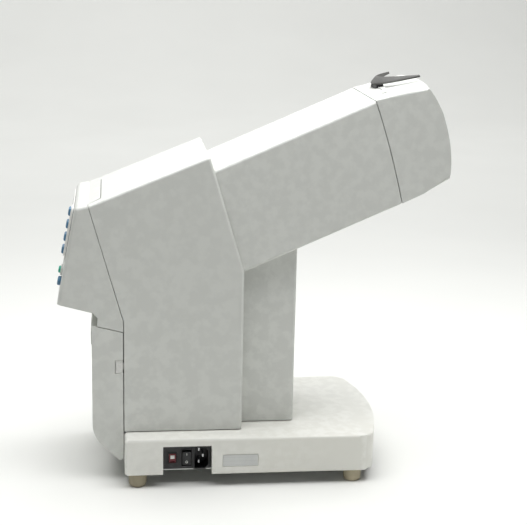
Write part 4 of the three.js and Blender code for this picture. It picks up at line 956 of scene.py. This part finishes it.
def printer_door():
    def side(inset, back):
        front, foot = DOOR["front"] + inset, DOOR["foot"] + inset
        turn = 0 if inset else HINGE[1] - DOOR["foot"]
        return rounded([
            (back, foot, turn), (back, door_top(back) - inset), (front, door_top(front) - inset, 1.2),
            (front, 37 + inset / 2, 34), (HINGE[0] - 1 + inset, foot, 2)], 16)
    edge = DOOR["foot"] + 0.01
    shell = across(side(0, DOOR["back"]), BODY, rim=4.2, segments=7,
                   rim_if=lambda a, b: max(a.x, b.x) < HINGE[0] - 0.1 and max(a.y, b.y) > edge
                   and not (min(a.y, b.y) > 150 and a.x != b.x))
    cut(shell, across(side(WALL, 4), BODY - 2 * WALL))
    grip = block((DOOR["front"] - 1.4, DOOR["front"] + 1), (-30, 30), (128, 142), 0.6)
    ears = []
    for y in (-63, 63):
        web = block((HINGE[0] - 6, HINGE[0]), (y - 2.5, y + 2.5), (DOOR["foot"] + 1, HINGE[1] + 1))
        ears.append(hinge_lug(web, y))
    join(shell, grip, *ears)
    channel = cylinder(1.7, 132, (HINGE[0], -66, HINGE[1]), "y", 24)
    room_x, room_z = (HINGE[0] - KNUCKLE - 0.8, 3), (DOOR["foot"] - 2, HINGE[1] + KNUCKLE + 1)
    room = [block(room_x, (y - 3.2, y + 3.2), room_z) for y in (-57, 57)]
    notches = [block((-9.5, 2), sorted((s * 69.5, s * 74.5)), (108.5, 123.5)) for s in (-1, 1)]
    cut(shell, channel, *room, *notches)
    piece(shell, "door_shell", SHELL, ["printer_door"], body="door")


def catch(side, name):
    y = sorted((side * 70.3, side * 72.3))
    pad = block((-9, -1.4), y, (109, 123), 0.35)
    rib_y = sorted((side * 72.0, side * 72.7))
    ribs = [block((-8, -2.4), rib_y, (z, z + 0.9), 0.15, 2) for z in range(112, 121, 2)]
    leg = block((-6, 22), sorted((side * 67.3, side * 70.4)), (112, 120), 0.3)
    join(pad, leg, *ribs)
    piece(pad, f"catch_slide_{name}", WHITE, [f"door_catch_{name}"], body=f"catch_{name}", ease=0.1)


printer_door()
catch(1, "left")
catch(-1, "right")
hinge_pin = cylinder(1.6, 131, (HINGE[0], -65.5, HINGE[1]), "y", 32, 0.4)
piece(hinge_pin, "door_hinge_pin", STEEL, ["hinge_rod"], ease=0)

# ------------------------------------------------------------------ inner pieces, kept from the CAD


def circuit_board():
    s = Surface("circuit_board", 0.42)
    traces = s.node("ShaderNodeTexBrick", {"Vector": s.where, "Scale": 90.0, "Mortar Size": 0.06,
                                           "Bias": 0.2})
    base = s.mix(s.spread(s.noise(40, 3), 0.3, 0.7), (0.01, 0.10, 0.035, 1), (0.02, 0.15, 0.05, 1))
    s.colour(s.mix(s.spread(traces.outputs["Fac"], 0.4, 0.6, 0.0, 0.5), base, (0.04, 0.24, 0.09, 1)))
    s.roughness(s.spread(s.noise(200, 3), 0.3, 0.7, 0.35, 0.5))
    s.bump(s.noise(600, 2), 0.00005)
    return s.material


def paper():
    """A rolled strip: its ends show the turns as fine rings."""
    s = Surface("receipt_paper", 0.8, Specular_IOR_Level=0.25)
    middle = s.node("ShaderNodeVectorMath", {0: s.where, 1: (-0.10515, 0, -0.1185)}, operation="ADD")
    axes = s.node("ShaderNodeSeparateXYZ", {"Vector": middle.outputs["Vector"]}).outputs
    reach = s.arithmetic("SQRT", s.arithmetic("ADD", s.arithmetic("POWER", axes["X"], 2.0),
                                              s.arithmetic("POWER", axes["Z"], 2.0)), 0.0)
    rings = s.arithmetic("PINGPONG", reach, 0.0004)
    tone = s.spread(rings, 0.0, 0.0004, 0.0, 0.5)
    s.colour(s.mix(tone, (0.82, 0.81, 0.77, 1), (0.62, 0.61, 0.57, 1)))
    s.roughness(s.spread(s.noise(120, 4), 0.3, 0.7, 0.72, 0.86))
    s.bump(s.noise(900, 4), 0.00004)
    return s.material


BOARD = circuit_board()
ANODISED = metal("black_anodised", (0.035, 0.035, 0.038), 0.42)
DISPLAY_CASE = moulded("display_case_plastic", (0.03, 0.03, 0.033), roughness=0.5, edge_wear_and_highlight=1.5)
KEPT = {
    PLATE: ["base_plate", "printer_frame"],
    BOARD: ["power_supply", "main_board", "key_board"],
    ALUMINIUM: ["support_post", "optical_bench", "camera_bracket", "stage_plate_rear", "stage_plate_front",
                "target_carriage"],
    ANODISED: ["print_head", "objective_barrel", "splitter_mount", "measuring_camera", "light_source",
               "focus_motor"],
    GLASS: ["objective_lens", "beam_splitter", "target_slide"],
    STEEL: ["guide_rod_left", "guide_rod_right"],
    BRASS: ["lead_screw"],
    ROLLER: ["platen_roller"],
    BLACK: ["paper_spindle"],
    DISPLAY_CASE: ["display_module"],
    paper(): ["paper_roll"],
}


def keep_nodes():
    for material, names in KEPT.items():
        for name in names:
            node = nodes[name]
            node.data.materials.clear()
            node.data.materials.append(material)
            flat = node.modifiers.new("flat", "DECIMATE")
            flat.decimate_type = "DISSOLVE"
            flat.angle_limit = math.radians(1)
            easing = node.modifiers.new("easing", "BEVEL")
            easing.width = 0.0003
            easing.segments = 2
            easing.limit_method = "ANGLE"
            easing.angle_limit = math.radians(40)
            easing.use_clamp_overlap = True


keep_nodes()

# ------------------------------------------------------------------ floor


def studio_sweep():
    """A pale floor that curves up into a backdrop well behind the instrument."""
    flat = [Vector((-4.0, 0)), Vector((2.6, 0))]
    profile = flat + curve(flat[-1], (4.4, 0), (4.8, 1.6), 24) + [Vector((4.9, 4.0))]
    bm = bmesh.new()
    rows = [[bm.verts.new((x, p.x, p.y)) for p in profile] for x in (-5, 5)]
    for i in range(len(profile) - 1):
        bm.faces.new((rows[0][i], rows[1][i], rows[1][i + 1], rows[0][i + 1]))
    mesh = bpy.data.meshes.new("studio_sweep")
    bm.to_mesh(mesh)
    bm.free()
    mesh.shade_smooth()
    floor = bpy.data.objects.new("studio_sweep", mesh)
    scene.collection.objects.link(floor)
    s = Surface("floor_paper", 0.8, Specular_IOR_Level=0.1)
    s.colour(s.mix(s.spread(s.noise(3, 2), 0.3, 0.7), (0.86, 0.865, 0.84, 1), (0.88, 0.885, 0.86, 1)))
    floor.data.materials.append(s.material)


studio_sweep()
